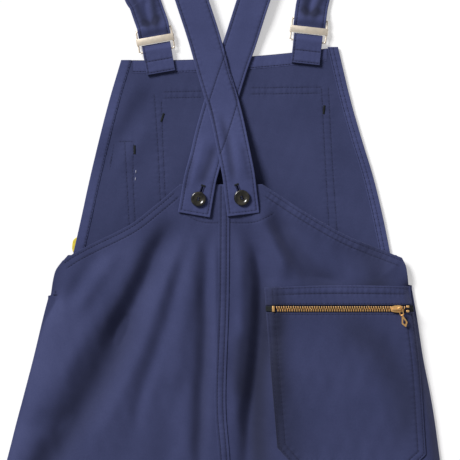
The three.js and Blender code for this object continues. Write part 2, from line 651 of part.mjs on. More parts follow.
function buildBuckle(side) {
  const { buckle } = STRAPS[side];
  const { width, height, wire, segments } = BUCKLE;
  const w = width / 2;
  const h = height / 2;
  const at = (u, v, z) => onBuckle(buckle, u, v, z);
  const rails = [-w, w].map((u) => bar(at(u, -h - wire, FRAME_Z), at(u, h + wire, FRAME_Z), wire, segments));
  const ends = [-h, h].map((v) => bar(at(-w, v, FRAME_Z), at(w, v, FRAME_Z), wire, segments));
  add(`buckle_frame_${side}`, joined(...rails, ...ends), NICKEL);

  // The gripping plate lies on the rails, and its ends curl round them.
  const reach = w + wire + GAP;
  const plate = (u0, u1, z0, z1) => {
    const a = THREE.MathUtils.degToRad(buckle.turn);
    const middle = at((u0 + u1) / 2, 0, (z0 + z1) / 2);
    return new THREE.BoxGeometry(u1 - u0, PLATE.height, z1 - z0).rotateZ(a).translate(...middle);
  };
  const low = FRAME_Z - wire - GAP - PLATE.curl;
  add(
    `slide_plate_${side}`,
    joined(
      plate(-reach - PLATE.curl, reach + PLATE.curl, PLATE_Z, PLATE_Z + PLATE.thickness),
      plate(-reach - PLATE.curl, -reach, low, PLATE_Z + PLATE.thickness),
      plate(reach, reach + PLATE.curl, low, PLATE_Z + PLATE.thickness),
      plate(-reach - PLATE.curl, -reach + 2, low, low + PLATE.curl),
      plate(reach - 2, reach + PLATE.curl, low, low + PLATE.curl),
    ),
    NICKEL,
  );

  // The tab is sewn to the bib's top hem and loops round the frame's lower bar.
  const sewn = -38.5;
  const loop = [[sewn, Z_ON_FACING + 0.6], [-22, Z_ON_FACING + 0.6], [-19, Z_ON_FACING + 0.3], [-16.5, 3.0], [-13, 2.5],
    [-8, 2.7], [-5.4, 3.0], [-4.4, 3.8], [-5.4, 4.5], [-7.8, 4.7], [-11, 6.3], [-14, 6.5], [-20, 6.1],
    [-24, Z_ON_FACING + 2.0], [sewn, Z_ON_FACING + 2.0]];
  add(`buckle_tab_${side}`, bandOnBuckle(buckle, loop, TAB_WIDTH, TAB_THICKNESS), MOLESKIN);
}

function buildBackButton(side, { x, y }) {
  const foot = Z_BACK + CLOTH + 0.1;
  const seat = Z_STRAP_ON_BACK + STRAP_THICKNESS + GAP;
  add(`button_shank_${side}`, new THREE.CylinderGeometry(1.5, 1.5, seat - 0.15 - foot, 10)
    .rotateX(Math.PI / 2).translate(x, y, (seat - 0.15 + foot) / 2), THREAD);
  add(`back_button_${side}`, button(BUTTON, x, y, seat), HORN);
}

function buildLabel() {
  const z = Z_FACING + LINING / 2;
  add("side_label", box(6.4, 14, 0.6, -181, 8.5, z), LABEL);
}

// ---------------------------------------------------------------- the garment

buildBib();
buildFrontLegs();
buildFastenings();
buildBack();
buildSeams();
buildBackPocket();
buildZip();
buildSlider();
buildPull();
for (const side of ["left", "right"]) {
  buildStrap(side);
  buildBuckle(side);
}
buildBackButton("left", BUTTON_LEFT);
buildBackButton("right", BUTTON_RIGHT);
buildLabel();

export default garment;
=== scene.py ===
"""Navy moleskin bib overalls, laid face down with the back up.

Pieces are built in millimetres in the garment's own frame: +X is the wearer's right, +Y runs from
the hems to the shoulders and +Z from the garment's front to its back. The ground is z = 0.
"""

import logging
import math
from dataclasses import dataclass, field, replace
from enum import Enum

import bmesh
import bpy
import numpy as np
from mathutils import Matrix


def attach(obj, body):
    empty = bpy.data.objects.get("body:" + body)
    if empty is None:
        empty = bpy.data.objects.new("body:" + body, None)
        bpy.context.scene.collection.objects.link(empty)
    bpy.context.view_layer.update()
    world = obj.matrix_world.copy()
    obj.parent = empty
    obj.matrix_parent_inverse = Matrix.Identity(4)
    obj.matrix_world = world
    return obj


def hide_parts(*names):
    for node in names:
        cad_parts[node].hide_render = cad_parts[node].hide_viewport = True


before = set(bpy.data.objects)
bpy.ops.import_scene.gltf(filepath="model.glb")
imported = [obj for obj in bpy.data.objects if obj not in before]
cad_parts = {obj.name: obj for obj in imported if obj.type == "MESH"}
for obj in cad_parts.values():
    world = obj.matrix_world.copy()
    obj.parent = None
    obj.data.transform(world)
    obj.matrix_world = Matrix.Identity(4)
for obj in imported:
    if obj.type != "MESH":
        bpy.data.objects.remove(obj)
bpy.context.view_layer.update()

LOG = logging.getLogger("overalls")
MM = 0.001
Array = np.ndarray
Piece = bpy.types.Object
Material = bpy.types.Material
Socket = bpy.types.NodeSocket
Sockets = bpy.types.bpy_prop_collection
Pair = tuple[float, float]
Triple = tuple[float, float, float]
Points = list[Pair]

CLOTH = 1.2  # one layer of moleskin
BACK_TOP = 15.2  # outer face of the back
STRAP_WIDTH = 37.0
STRAP_THICKNESS = 2.0
HEM_Y = -1040.0


class Side(Enum):
    """A side of the garment, as it lies."""

    LEFT = -1
    RIGHT = 1

    @property
    def word(self) -> str:
        """The side's name in lower case."""
        return self.name.lower()


class Held(Enum):
    """How a sheet of cloth is held."""

    LAID = "laid"
    FOLDED = "folded"


class Body(Enum):
    """The rigid bodies that pieces ride on."""

    GARMENT = "garment"
    SLIDER = "slider"
    LINK = "link"
    PULL = "pull"
    PLATE_LEFT = "plate_left"
    PLATE_RIGHT = "plate_right"


# ---- lines and noise


def curve(points: list | Array, step: float = 2.0) -> Array:
    """A smooth curve through the points.

    Args:
        points: Points in two or three dimensions.
        step: The longest distance between two points of the result.

    Returns:
        The points of the curve, one per row.
    """
    p = np.asarray(points, dtype=float)
    if len(p) == 2:
        count = max(2, math.ceil(np.linalg.norm(p[1] - p[0]) / step) + 1)
        return p[0] + (p[1] - p[0]) * np.linspace(0, 1, count)[:, None]
    padded = np.vstack([2 * p[0] - p[1], p, 2 * p[-1] - p[-2]])
    pieces = []
    for a, b, c, d in zip(padded[:-3], padded[1:-2], padded[2:-1], padded[3:]):
        count = max(2, math.ceil(np.linalg.norm(c - b) / step))
        t = np.linspace(0, 1, count, endpoint=False)[:, None]
        cubic = (-a + 3 * b - 3 * c + d) * t**3
        pieces.append(0.5 * (2 * b + (c - a) * t + (2 * a - 5 * b + 4 * c - d) * t**2 + cubic))
    pieces.append(p[-1:])
    return np.vstack(pieces)


def corners(*points: Pair) -> Array:
    """A line with a sharp corner at each point, with a point every few millimetres."""
    runs = [curve([a, b], 4.0)[:-1] for a, b in zip(points[:-1], points[1:])]
    return np.vstack([*runs, np.asarray(points[-1:], dtype=float)])


def arc_length(line: Array) -> Array:
    """The distance along a line at each of its points."""
    return np.concatenate([[0.0], np.cumsum(np.linalg.norm(np.diff(line, axis=0), axis=1))])


def raised(line: Array, z: float) -> Array:
    """A line, or a row of numbers, with one more column that is the same everywhere."""
    return np.column_stack([line, np.full(len(line), z)])


def at_distance(line: Array, distance: Array) -> Array:
    """The points of a line at the given distances along it."""
    arc = arc_length(line)
    return np.stack([np.interp(distance, arc, line[:, k]) for k in range(line.shape[1])], axis=1)


def offset(line: Array, by: float) -> Array:
    """A copy of a plane line, moved to the left of the way it runs.

    Args:
        line: The line's points, one per row.
        by: How far to move it; a negative distance moves it to the right.

    Returns:
        The moved line.
    """
    along = np.gradient(line, axis=0)
    along /= np.linalg.norm(along, axis=1, keepdims=True)
    return line + by * np.stack([-along[:, 1], along[:, 0]], axis=1)


def near(line: Array, at: Array, reach: float) -> tuple[Array, Array, Array]:
    """Where points lie by a plane line.

    Args:
        line: The line's points, one per row.
        at: The points to place, one per row.
        reach: How far from the line a point still counts.

    Returns:
        The distance to the line (infinite out of reach), the distance along it, and +1 to the left
        of the line or -1 to its right.
    """
    gap = np.full(len(at), np.inf)
    along = np.zeros(len(at))
    side = np.ones(len(at))
    close = np.all((at > line.min(axis=0) - reach) & (at < line.max(axis=0) + reach), axis=1)
    spots = at[close]
    best = np.full(len(spots), reach * reach)
    run = np.zeros(len(spots))
    hand = np.ones(len(spots))
    arc = arc_length(line)
    for start, step, so_far in zip(line[:-1], np.diff(line, axis=0), arc[:-1]):
        length = math.hypot(*step)
        if length < 1e-9:
            continue
        away = spots - start
        t = np.clip(away @ step / length**2, 0, 1)
        left = away - t[:, None] * step
        squared = np.einsum("ij,ij->i", left, left)
        nearer = squared < best
        best[nearer] = squared[nearer]
        run[nearer] = so_far + t[nearer] * length
        hand[nearer] = np.where(step[0] * away[nearer, 1] - step[1] * away[nearer, 0] >= 0, 1, -1)
    found = best < reach * reach
    index = np.flatnonzero(close)[found]
    gap[index] = np.sqrt(best[found])
    along[index] = run[found]
    side[index] = hand[found]
    return gap, along, side


def bump(gap: Array, width: float) -> Array:
    """A smooth rise of 1 on a line that fades over the given width."""
    return np.exp(-np.square(np.minimum(gap, 50 * width) / width))


def ramp(x: Array, low: float, high: float) -> Array:
    """A smooth step from 0 at low to 1 at high."""
    t = np.clip((x - low) / (high - low), 0, 1)
    return t * t * (3 - 2 * t)


@dataclass(frozen=True)
class Ripple:
    """Soft irregular waves in cloth."""

    seed: int  # chooses the pattern
    height: float  # the usual height of a wave
    shortest: float  # the shortest wavelength
    longest: float  # the longest wavelength
    lean: float = 0.0  # the direction that most waves run across, in degrees from +X

    def at(self, spots: Array) -> Array:
        """The height of the waves at the given points.

        Args:
            spots: The points, one per row.

        Returns:
            A height for each point.
        """
        rng = np.random.default_rng(self.seed)
        total = np.zeros(len(spots))
        count = 18
        for _ in range(count):
            wave = math.exp(rng.uniform(math.log(self.shortest), math.log(self.longest)))
            turn = math.radians(self.lean) + rng.normal(0, 0.6)
            phase = rng.uniform(0, 2 * math.pi)
            run = spots[:, 0] * math.cos(turn) + spots[:, 1] * math.sin(turn)
            total += np.sin(2 * math.pi * run / wave + phase) * math.sqrt(wave / self.longest)
        return self.height * total / math.sqrt(count)


# ---- meshes


@dataclass
class Solid:
    """The points and faces of one piece, in millimetres."""

    points: list[Array] = field(default_factory=list)
    faces: list[Array] = field(default_factory=list)
    count: int = 0

    def add(self, points: Array, *groups: Array) -> None:
        """Adds points, and groups of faces that count from the first of them.

        Args:
            points: The points, one per row.
            *groups: Faces as rows of point numbers.
        """
        self.points.append(np.asarray(points, dtype=float).reshape(-1, 3))
        self.faces.extend(np.asarray(faces, dtype=int) + self.count for faces in groups)
        self.count += len(self.points[-1])

    def merge(self, *others: "Solid") -> "Solid":
        """Adds other solids' bodies beside this one's."""
        for other in others:
            self.add(np.vstack(other.points), *other.faces)
        return self

    def moved(self, turn: float, to: Array | tuple) -> "Solid":
        """A copy, turned about the Z axis by an angle in degrees and then moved.

        Args:
            turn: The angle.
            to: Where its origin goes.

        Returns:
            The copy.
        """
        a = math.radians(turn)
        spin = np.array([[math.cos(a), -math.sin(a), 0], [math.sin(a), math.cos(a), 0], [0, 0, 1]])
        copy = Solid()
        copy.add(np.vstack(self.points) @ spin.T + np.asarray(to, dtype=float), *self.faces)
        return copy

    def build(self, name: str, material: Material, smooth: bool = True) -> Piece:
        """Makes the Blender object.

        Args:
            name: The object's name.
            material: What it is made of.
            smooth: Whether its faces are shaded as one smooth surface.

        Returns:
            The new object, in the scene.
        """
        mesh = bpy.data.meshes.new(name)
        loose = [face.tolist() for group in self.faces for face in group]
        mesh.from_pydata((np.vstack(self.points) * MM).tolist(), [], loose)
        shape = bmesh.new()
        shape.from_mesh(mesh)
        bmesh.ops.recalc_face_normals(shape, faces=shape.faces)
        shape.to_mesh(mesh)
        shape.free()
        mesh.polygons.foreach_set("use_smooth", np.full(len(mesh.polygons), smooth))
        mesh.materials.append(material)
        mesh.update()
        made = bpy.data.objects.new(name, mesh)
        bpy.context.scene.collection.objects.link(made)
        return made


def grid_faces(rows: int, columns: int, loop: bool = False) -> Array:
    """Quads over a grid of points.

    Args:
        rows: The number of rows.
        columns: The number of points in a row.
        loop: Whether each row closes on itself.

    Returns:
        Four point numbers for each quad.
    """
    i = np.arange(rows - 1)[:, None]
    j = np.arange(columns if loop else columns - 1)[None, :]
    right = (j + 1) % columns
    quads = [i * columns + j, i * columns + right, (i + 1) * columns + right, (i + 1) * columns + j]
    return np.stack(quads, axis=-1).reshape(-1, 4)


def shell(top: Array, bottom: Array) -> Solid:
    """A closed sheet between two grids of points.

    Args:
        top: The upper face, as rows by columns by 3.
        bottom: The lower face, of the same shape.

    Returns:
        The closed solid.
    """
    rows, columns = top.shape[:2]
    count = rows * columns
    faces = grid_faces(rows, columns)
    number = np.arange(count).reshape(rows, columns)
    ring = np.concatenate([number[0], number[1:, -1], number[-1, -2::-1], number[-2:0:-1, 0]])
    ahead = np.roll(ring, -1)
    walls = np.stack([ring, ring + count, ahead + count, ahead], axis=1)
    solid = Solid()
    points = np.concatenate([top.reshape(-1, 3), bottom.reshape(-1, 3)])
    solid.add(points, faces[:, ::-1], faces + count, walls[:, ::-1])
    return solid


def tube(path: Array, radii: Array | float, sides: int = 10, closed: bool = False) -> Solid:
    """A round bar along a path.

    Args:
        path: The points of its middle line.
        radii: Its radius, at each point or everywhere.
        sides: The number of sides of its section.
        closed: Whether the path runs back to its first point.

    Returns:
        The closed solid.
    """
    path = np.asarray(path, dtype=float)
    along = np.roll(path, -1, axis=0) - np.roll(path, 1, axis=0) if closed else np.gradient(path, axis=0)
    along /= np.linalg.norm(along, axis=1, keepdims=True)
    across = np.cross(along, [0.0, 0.0, 1.0])
    flat = np.linalg.norm(across, axis=1) < 1e-6
    across[flat] = np.cross(along[flat], [1.0, 0.0, 0.0])
    across /= np.linalg.norm(across, axis=1, keepdims=True)
    up = np.cross(across, along)
    turn = np.linspace(0, 2 * math.pi, sides, endpoint=False)
    ring = across[:, None] * np.cos(turn)[None, :, None] + up[:, None] * np.sin(turn)[None, :, None]
    size = np.broadcast_to(np.asarray(radii, dtype=float), (len(path),))
    points = (path[:, None] + ring * size[:, None, None]).reshape(-1, 3)
    walls = grid_faces(len(path) + closed, sides, True) % len(points)
    edge = np.arange(sides)
    solid = Solid()
    if closed:
        solid.add(points, walls)
    else:
        solid.add(points, walls, edge[None, ::-1], edge[None] + len(points) - sides)
    return solid


def revolve(profile: Points, centre: Array, segments: int = 64) -> Solid:
    """A turned solid about a standing axis.

    Args:
        profile: Radius and height pairs from the bottom's middle to the top's middle.
        centre: The foot of the axis.
        segments: The number of steps round the axis.

    Returns:
        The closed solid.
    """
    inner = np.asarray(profile[1:-1], dtype=float)
    turn = np.linspace(0, 2 * math.pi, segments, endpoint=False)
    rings = np.stack(
        [
            inner[:, :1] * np.cos(turn),
            inner[:, :1] * np.sin(turn),
            np.repeat(inner[:, 1:], segments, axis=1),
        ],
        axis=-1,
    )
    count = len(inner) * segments
    poles = [[0, 0, profile[0][1]], [0, 0, profile[-1][1]]]
    edge = np.arange(segments)
    after = (edge + 1) % segments
    low = np.stack([after, edge, np.full(segments, count)], axis=1)
    high = np.stack([edge, after, np.full(segments, segments + 1)], axis=1) + count - segments
    solid = Solid()
    points = np.concatenate([rings.reshape(-1, 3), poles]) + centre
    solid.add(points, grid_faces(len(inner), segments, True), low, high)
    return solid


def prism(outline: Array, low: float, high: float) -> Solid:
    """A flat plate with the given outline, anticlockwise from above.

    Args:
        outline: Its corners, anticlockwise from above.
        low: The height of its underside.
        high: The height of its top.

    Returns:
        The closed solid.
    """
    count = len(outline)
    edge = np.arange(count)[None]
    solid = Solid()
    points = np.concatenate([raised(outline, low), raised(outline, high)])
    solid.add(points, grid_faces(2, count, True), edge[:, ::-1], edge + count)
    return solid


def box(size: Triple, centre: Triple) -> Solid:
    """A plain block, to be rounded by its user.

    Args:
        size: Its width, depth and height.
        centre: Its middle.

    Returns:
        The closed solid.
    """
    w, d = size[0] / 2, size[1] / 2
    outline = np.array([[-w, -d], [w, -d], [w, d], [-w, d]]) + centre[:2]
    return prism(outline, centre[2] - size[2] / 2, centre[2] + size[2] / 2)


def settle(piece: Piece) -> None:
    """Turns a piece's modifiers into plain mesh.

    Args:
        piece: The piece to change.
    """
    graph = bpy.context.evaluated_depsgraph_get()
    mesh = bpy.data.meshes.new_from_object(piece.evaluated_get(graph))
    piece.modifiers.clear()
    old = piece.data
    piece.data = mesh
    bpy.data.meshes.remove(old)


def own(piece: Piece, slot: str, *nodes: str, body: Body = Body.GARMENT) -> Piece:
    """Gives a piece its body and hides the CAD nodes that it replaces.

    Args:
        piece: The finished piece.
        slot: The record's material slot; not used.
        *nodes: The CAD nodes.
        body: The rigid body that it rides on.

    Returns:
        The same piece.
    """
    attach(piece, body.value)
    if nodes:
        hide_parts(*nodes)
    return piece


def rounded(piece: Piece, width: float, segments: int = 3) -> Piece:
    """Rounds a piece's sharp edges.

    Args:
        piece: The piece to change.
        width: The radius of the rounding, in millimetres.
        segments: The number of steps across it.

    Returns:
        The same piece.
    """
    bevel = piece.modifiers.new("round", "BEVEL")
    bevel.width = width * MM
    bevel.segments = segments
    bevel.limit_method = "ANGLE"
    bevel.angle_limit = math.radians(35)
    settle(piece)
    return piece


def carve(piece: Piece, tools: list[Piece], operation: str = "DIFFERENCE") -> None:
    """Cuts tools out of a piece, or joins them to it, and removes the tools.

    Args:
        piece: The piece to change.
        tools: The cutters, or the parts to join.
        operation: Blender's name for the change.
    """
    for tool in tools:
        change = piece.modifiers.new("carve", "BOOLEAN")
        change.operation = operation
        change.object = tool
        change.solver = "EXACT"
    bpy.context.view_layer.update()
    settle(piece)
    for tool in tools:
        bpy.data.objects.remove(tool)


# ---- materials


class Graph:
    """Places and links the nodes of a material or a node group."""

    def __init__(self, tree: bpy.types.NodeTree) -> None:
        """Starts on an empty tree."""
        self.tree = tree
        tree.nodes.clear()

    def put(self, socket: Socket, value: object) -> None:
        """Sets a socket to a value, or links it to another socket.

        Args:
            socket: The socket to set.
            value: The value, or the socket to link.
        """
        if isinstance(value, Socket):
            self.tree.links.new(value, socket)
        else:
            socket.default_value = value

    def node(self, kind: str, inputs: dict | None = None, **settings: object) -> bpy.types.Node:
        """Adds a node.

        Args:
            kind: Blender's name for the node.
            inputs: What each named or numbered input is set or linked to.
            **settings: The node's own settings.

        Returns:
            The new node.
        """
        made = self.tree.nodes.new(kind)
        for key, value in settings.items():
            setattr(made, key, value)
        for key, value in (inputs or {}).items():
            self.put(made.inputs[key], value)
        return made

    def placed(self, tree: bpy.types.NodeTree, inputs: dict[str, object]) -> Sockets:
        """The outputs of a node group, placed with its own values."""
        return self.node("ShaderNodeGroup", inputs, node_tree=tree).outputs

    def bump(self, height: object, depth: float, strength: float) -> Socket:
        """The normal of a height map whose depth is in millimetres."""
        inputs = {"Height": height, "Distance": depth * MM, "Strength": strength}
        return self.node("ShaderNodeBump", inputs).outputs[0]

    def math(self, operation: str, a: object, b: object = 0.0, c: object = 0.0) -> Socket:
        """The result of a math node."""
        return self.node("ShaderNodeMath", {0: a, 1: b, 2: c}, operation=operation).outputs[0]

    def mix(self, factor: object, a: object, b: object, blend: str = "MIX") -> Socket:
        """The result of mixing two colours."""
        inputs = {"Factor": factor, 6: a, 7: b}
        return self.node("ShaderNodeMix", inputs, data_type="RGBA", blend_type=blend).outputs[2]

    def noise(self, vector: object, scale: float, detail: float = 3.0) -> Socket:
        """The value of a noise texture."""
        inputs = {"Vector": vector, "Scale": scale, "Detail": detail}
        return self.node("ShaderNodeTexNoise", inputs).outputs[0]

    def spread(self, value: object, low: float, high: float, to: tuple = (0.0, 1.0)) -> Socket:
        """A value carried from one range to another, held at its ends."""
        inputs = {"Value": value, 1: low, 2: high, 3: to[0], 4: to[1]}
        return self.node("ShaderNodeMapRange", inputs).outputs[0]


def group(name: str, inputs: dict[str, tuple], outputs: dict[str, str]) -> tuple[Graph, dict]:
    """Starts a node group.

    Args:
        name: The group's name.
        inputs: Each input's socket type and default.
        outputs: Each output's socket type.

    Returns:
        The graph to build in, and its input sockets by name.
    """
    tree = bpy.data.node_groups.new(name, "ShaderNodeTree")
    for word, (kind, default) in inputs.items():
        socket = tree.interface.new_socket(name=word, in_out="INPUT", socket_type=kind)
        if default is not None:
            socket.default_value = default
    for word, kind in outputs.items():
        tree.interface.new_socket(name=word, in_out="OUTPUT", socket_type=kind)
    graph = Graph(tree)
    start = graph.node("NodeGroupInput")
    return graph, {word: start.outputs[word] for word in inputs}


FLOAT = "NodeSocketFloat"
COLOUR = "NodeSocketColor"
VECTOR = "NodeSocketVector"


def weave_group() -> bpy.types.NodeTree:
    """A woven surface: warp and weft threads crossing at a slant, with slubs."""
    graph, given = group(
        "weave",
        {"Vector": (VECTOR, None), "Pitch": (FLOAT, 0.0006), "Slant": (FLOAT, 0.5)},
        {"Height": FLOAT, "Tone": FLOAT},
    )
    turned = graph.node("ShaderNodeVectorRotate", {"Vector": given["Vector"], "Angle": given["Slant"]})
    parts = graph.node("ShaderNodeSeparateXYZ", {0: turned.outputs[0]}).outputs
    rows = []
    for axis in (0, 1):
        turns = graph.math("MULTIPLY", graph.math("DIVIDE", parts[axis], given["Pitch"]), 2 * math.pi)
        rows.append(graph.math("SINE", turns))
    crossing = graph.math("MULTIPLY_ADD", graph.math("MULTIPLY", rows[0], rows[1]), 0.5, 0.5)
    streak = graph.node("ShaderNodeMapping", {"Vector": turned.outputs[0], "Scale": (240.0, 2200.0, 600.0)})
    slub = graph.noise(streak.outputs[0], 1.0, 2.0)
    height = graph.math("MULTIPLY_ADD", slub, 0.4, graph.math("MULTIPLY", crossing, 0.6))
    tone = graph.math("MULTIPLY_ADD", graph.math("SUBTRACT", slub, 0.5), 0.6, crossing)
    graph.node("NodeGroupOutput", {"Height": height, "Tone": tone})
    return graph.tree


def mottle_group() -> bpy.types.NodeTree:
    """Uneven dye: broad patches and fine speckle between a light and a dark tone."""
    graph, given = group(
        "mottle",
        {"Vector": (VECTOR, None), "Light": (COLOUR, None), "Dark": (COLOUR, None)},
        {"Colour": COLOUR, "Mask": FLOAT},
    )
    broad = graph.spread(graph.noise(given["Vector"], 14.0, 3.0), 0.3, 0.7)
    fine = graph.spread(graph.noise(given["Vector"], 620.0, 2.0), 0.3, 0.7)
    mask = graph.math("MULTIPLY_ADD", fine, 0.3, graph.math("MULTIPLY", broad, 0.6))
    colour = graph.mix(mask, given["Light"], given["Dark"])
    graph.node("NodeGroupOutput", {"Colour": colour, "Mask": mask})
    return graph.tree


def scratch_group() -> bpy.types.NodeTree:
    """Brushed metal: fine parallel scratches and broad smudges."""
    graph, given = group("scratches", {"Vector": (VECTOR, None)}, {"Height": FLOAT, "Smudge": FLOAT})
    stretch = graph.node("ShaderNodeMapping", {"Vector": given["Vector"], "Scale": (120.0, 2600.0, 2600.0)})
    height = graph.noise(stretch.outputs[0], 1.0, 3.0)
    smudge = graph.spread(graph.noise(given["Vector"], 260.0, 4.0), 0.35, 0.7)
    graph.node("NodeGroupOutput", {"Height": height, "Smudge": smudge})
    return graph.tree


class Groups:
    """The shared node groups, each built once."""

    def __init__(self) -> None:
        """Builds the groups."""
        self.weave = weave_group()
        self.mottle = mottle_group()
        self.scratches = scratch_group()


@dataclass(frozen=True)
class Finish:
    """A named finish, whose own kinds say what its surface is."""

    name: str

    def surface(self, graph: Graph, place: Socket, groups: Groups | None) -> dict[str, object]:
        """What the surface is like.

        Args:
            graph: The graph to build in.
            place: The place on the piece.
            groups: The shared node groups.

        Returns:
            The shader's inputs: nodes for what varies over the surface, and constants.
        """
        raise NotImplementedError

    def material(self, groups: Groups | None = None) -> Material:
        """Builds the finish.

        Args:
            groups: The shared node groups, where the finish uses them.

        Returns:
            The material.
        """
        made = bpy.data.materials.new(self.name)
        made.use_nodes = True
        graph = Graph(made.node_tree)
        place = graph.node("ShaderNodeTexCoord").outputs["Object"]
        shader = graph.node("ShaderNodeBsdfPrincipled", self.surface(graph, place, groups))
        graph.node("ShaderNodeOutputMaterial", {"Surface": shader.outputs[0]})
        return made


@dataclass(frozen=True)
class ClothFinish(Finish):
    """Woven cloth."""

    light: Triple  # the colour of the raised nap
    dark: Triple  # the colour of the ground
    pitch: float = 0.75  # the distance between threads, in millimetres
    slant: float = 0.35  # the angle of the threads, in radians
    sheen: float = 0.35  # how strongly the nap catches grazing light
    relief: float = 0.12  # the height of the threads, in millimetres
    painted_shade: float = 0.88  # how far the painted shade darkens the cloth along its sewn lines and folds

    def surface(self, graph: Graph, place: Socket, groups: Groups) -> dict[str, object]:
        """Threads and uneven dye, with painted shade along seams and folds."""
        weave = graph.placed(groups.weave, {"Vector": place, "Pitch": self.pitch * MM, "Slant": self.slant})
        colours = {"Light": (*self.light, 1), "Dark": (*self.dark, 1)}
        mottle = graph.placed(groups.mottle, {"Vector": place, **colours})
        shade = graph.spread(weave["Tone"], 0.0, 1.2, (0.82, 1.1))
        toned = graph.mix(1.0, mottle["Colour"], shade, "MULTIPLY")
        # painted shade: each piece carries a mask along its seams and folds that darkens the colour toward a
        # quarter of the ground tone
        painted_shade = graph.node("ShaderNodeAttribute", attribute_name="painted_shade").outputs["Fac"]
        painted_shade_mix = graph.math("MULTIPLY", painted_shade, self.painted_shade)
        return {
            "Base Color": graph.mix(painted_shade_mix, toned, (*(0.25 * c for c in self.dark), 1)),
            "Roughness": graph.spread(mottle["Mask"], 0.0, 1.0, (0.78, 0.92)),
            "Normal": graph.bump(weave["Height"], self.relief, 0.7),
            "Sheen Weight": self.sheen,
            "Sheen Roughness": 0.45,
            "Sheen Tint": (0.62, 0.64, 1.0, 1),
            "Specular IOR Level": 0.25,
        }


@dataclass(frozen=True)
class MetalFinish(Finish):
    """Brushed or polished metal."""

    bright: Triple  # the colour of clean metal
    dull: Triple  # the colour of tarnish
    roughness: float = 0.3  # the roughness of clean metal
    grain: float = 0.02  # the depth of its scratches, in millimetres

    def surface(self, graph: Graph, place: Socket, groups: Groups) -> dict[str, object]:
        """Fine scratches, and tarnish where it is smudged."""
        marks = graph.placed(groups.scratches, {"Vector": place})
        tarnish = graph.math("MULTIPLY", marks["Smudge"], 0.5)
        return {
            "Base Color": graph.mix(tarnish, (*self.bright, 1), (*self.dull, 1)),
            "Roughness": graph.spread(marks["Smudge"], 0.0, 1.0, (self.roughness, self.roughness + 0.18)),
            "Normal": graph.bump(marks["Height"], self.grain, 0.6),
            "Metallic": 0.82,
        }


@dataclass(frozen=True)
class HornFinish(Finish):
    """Polished mottled horn."""

    light: Triple = (0.034, 0.03, 0.021)
    dark: Triple = (0.004, 0.004, 0.004)

    def surface(self, graph: Graph, place: Socket, groups: Groups) -> dict[str, object]:
        """Clouds and veins in dark horn, with fine scratches."""
        cloud = graph.spread(graph.noise(place, 170.0, 4.0), 0.36, 0.66)
        streak = graph.node("ShaderNodeMapping", {"Vector": place, "Scale": (700.0, 220.0, 300.0)})
        vein = graph.spread(graph.noise(streak.outputs[0], 1.0, 3.0), 0.45, 0.75)
        mask = graph.math("MULTIPLY_ADD", vein, 0.4, graph.math("MULTIPLY", cloud, 0.8))
        marks = graph.placed(groups.scratches, {"Vector": place})
        return {
            "Base Color": graph.mix(mask, (*self.dark, 1), (*self.light, 1)),
            "Roughness": graph.spread(marks["Smudge"], 0.0, 1.0, (0.17, 0.34)),
            "Normal": graph.bump(marks["Height"], 0.01, 0.4),
            "Coat Weight": 0.25,
            "Coat Roughness": 0.08,
        }


@dataclass(frozen=True)
class FloorFinish(Finish):
    """A plain white sweep that glows a little, so that shadows on it stay pale."""

    def surface(self, graph: Graph, place: Socket, groups: Groups | None) -> dict[str, object]:
        """The same everywhere."""
        glow = {"Emission Color": (1.0, 0.985, 0.99, 1), "Emission Strength": 0.42}
        return {"Base Color": (0.6, 0.6, 0.6, 1), "Roughness": 0.9, **glow}


class Palette:
    """Every material, built once."""

    def __init__(self) -> None:
        """Builds the materials."""
        self.groups = Groups()
        self.moleskin = self.cloth("moleskin", (0.0415, 0.0495, 0.131), (0.028, 0.0345, 0.094))
        # The same moleskin made lighter for the straps, tabs and bib hems: partly the nap of pieces cut
        # another way, partly painted light for the stronger light on these raised pieces.
        self.bright = self.cloth("moleskin_bias_painted_light", (0.057, 0.068, 0.177), (0.040, 0.048, 0.130), slant=1.1)
        self.reverse = self.cloth("moleskin_reverse", (0.04, 0.048, 0.126), (0.028, 0.0345, 0.093), sheen=0.2)
        self.lining = self.cloth("lining", (0.045, 0.05, 0.12), (0.03, 0.034, 0.085), sheen=0.2)
        self.tape = self.cloth("zip_tape", (0.02, 0.022, 0.045), (0.012, 0.013, 0.028), 0.5)
        self.thread = self.cloth("thread", (0.028, 0.032, 0.085), (0.018, 0.02, 0.055), 0.3, sheen=0.1)
        self.tack = self.cloth("bartack", (0.016, 0.02, 0.02), (0.009, 0.011, 0.011), 0.3, sheen=0.05)
        self.pale = self.cloth("pale_thread", (0.6, 0.6, 0.72), (0.45, 0.45, 0.6), 0.3)
        self.ribbon = self.cloth("ribbon", (0.83, 0.68, 0.09), (0.7, 0.55, 0.06), 0.4, sheen=0.1)
        self.horn = HornFinish("horn").material(self.groups)
        self.brass = MetalFinish("brass", (1.0, 0.62, 0.25), (0.74, 0.36, 0.12)).material(self.groups)
        nickel = MetalFinish("nickel", (0.95, 0.84, 0.7), (0.6, 0.5, 0.4), 0.36, 0.03)
        self.nickel = nickel.material(self.groups)

    def cloth(self, *sizes: object, **named: float) -> Material:
        """Builds a cloth finish."""
        return ClothFinish(*sizes, **named).material(self.groups)


# ---- cloth


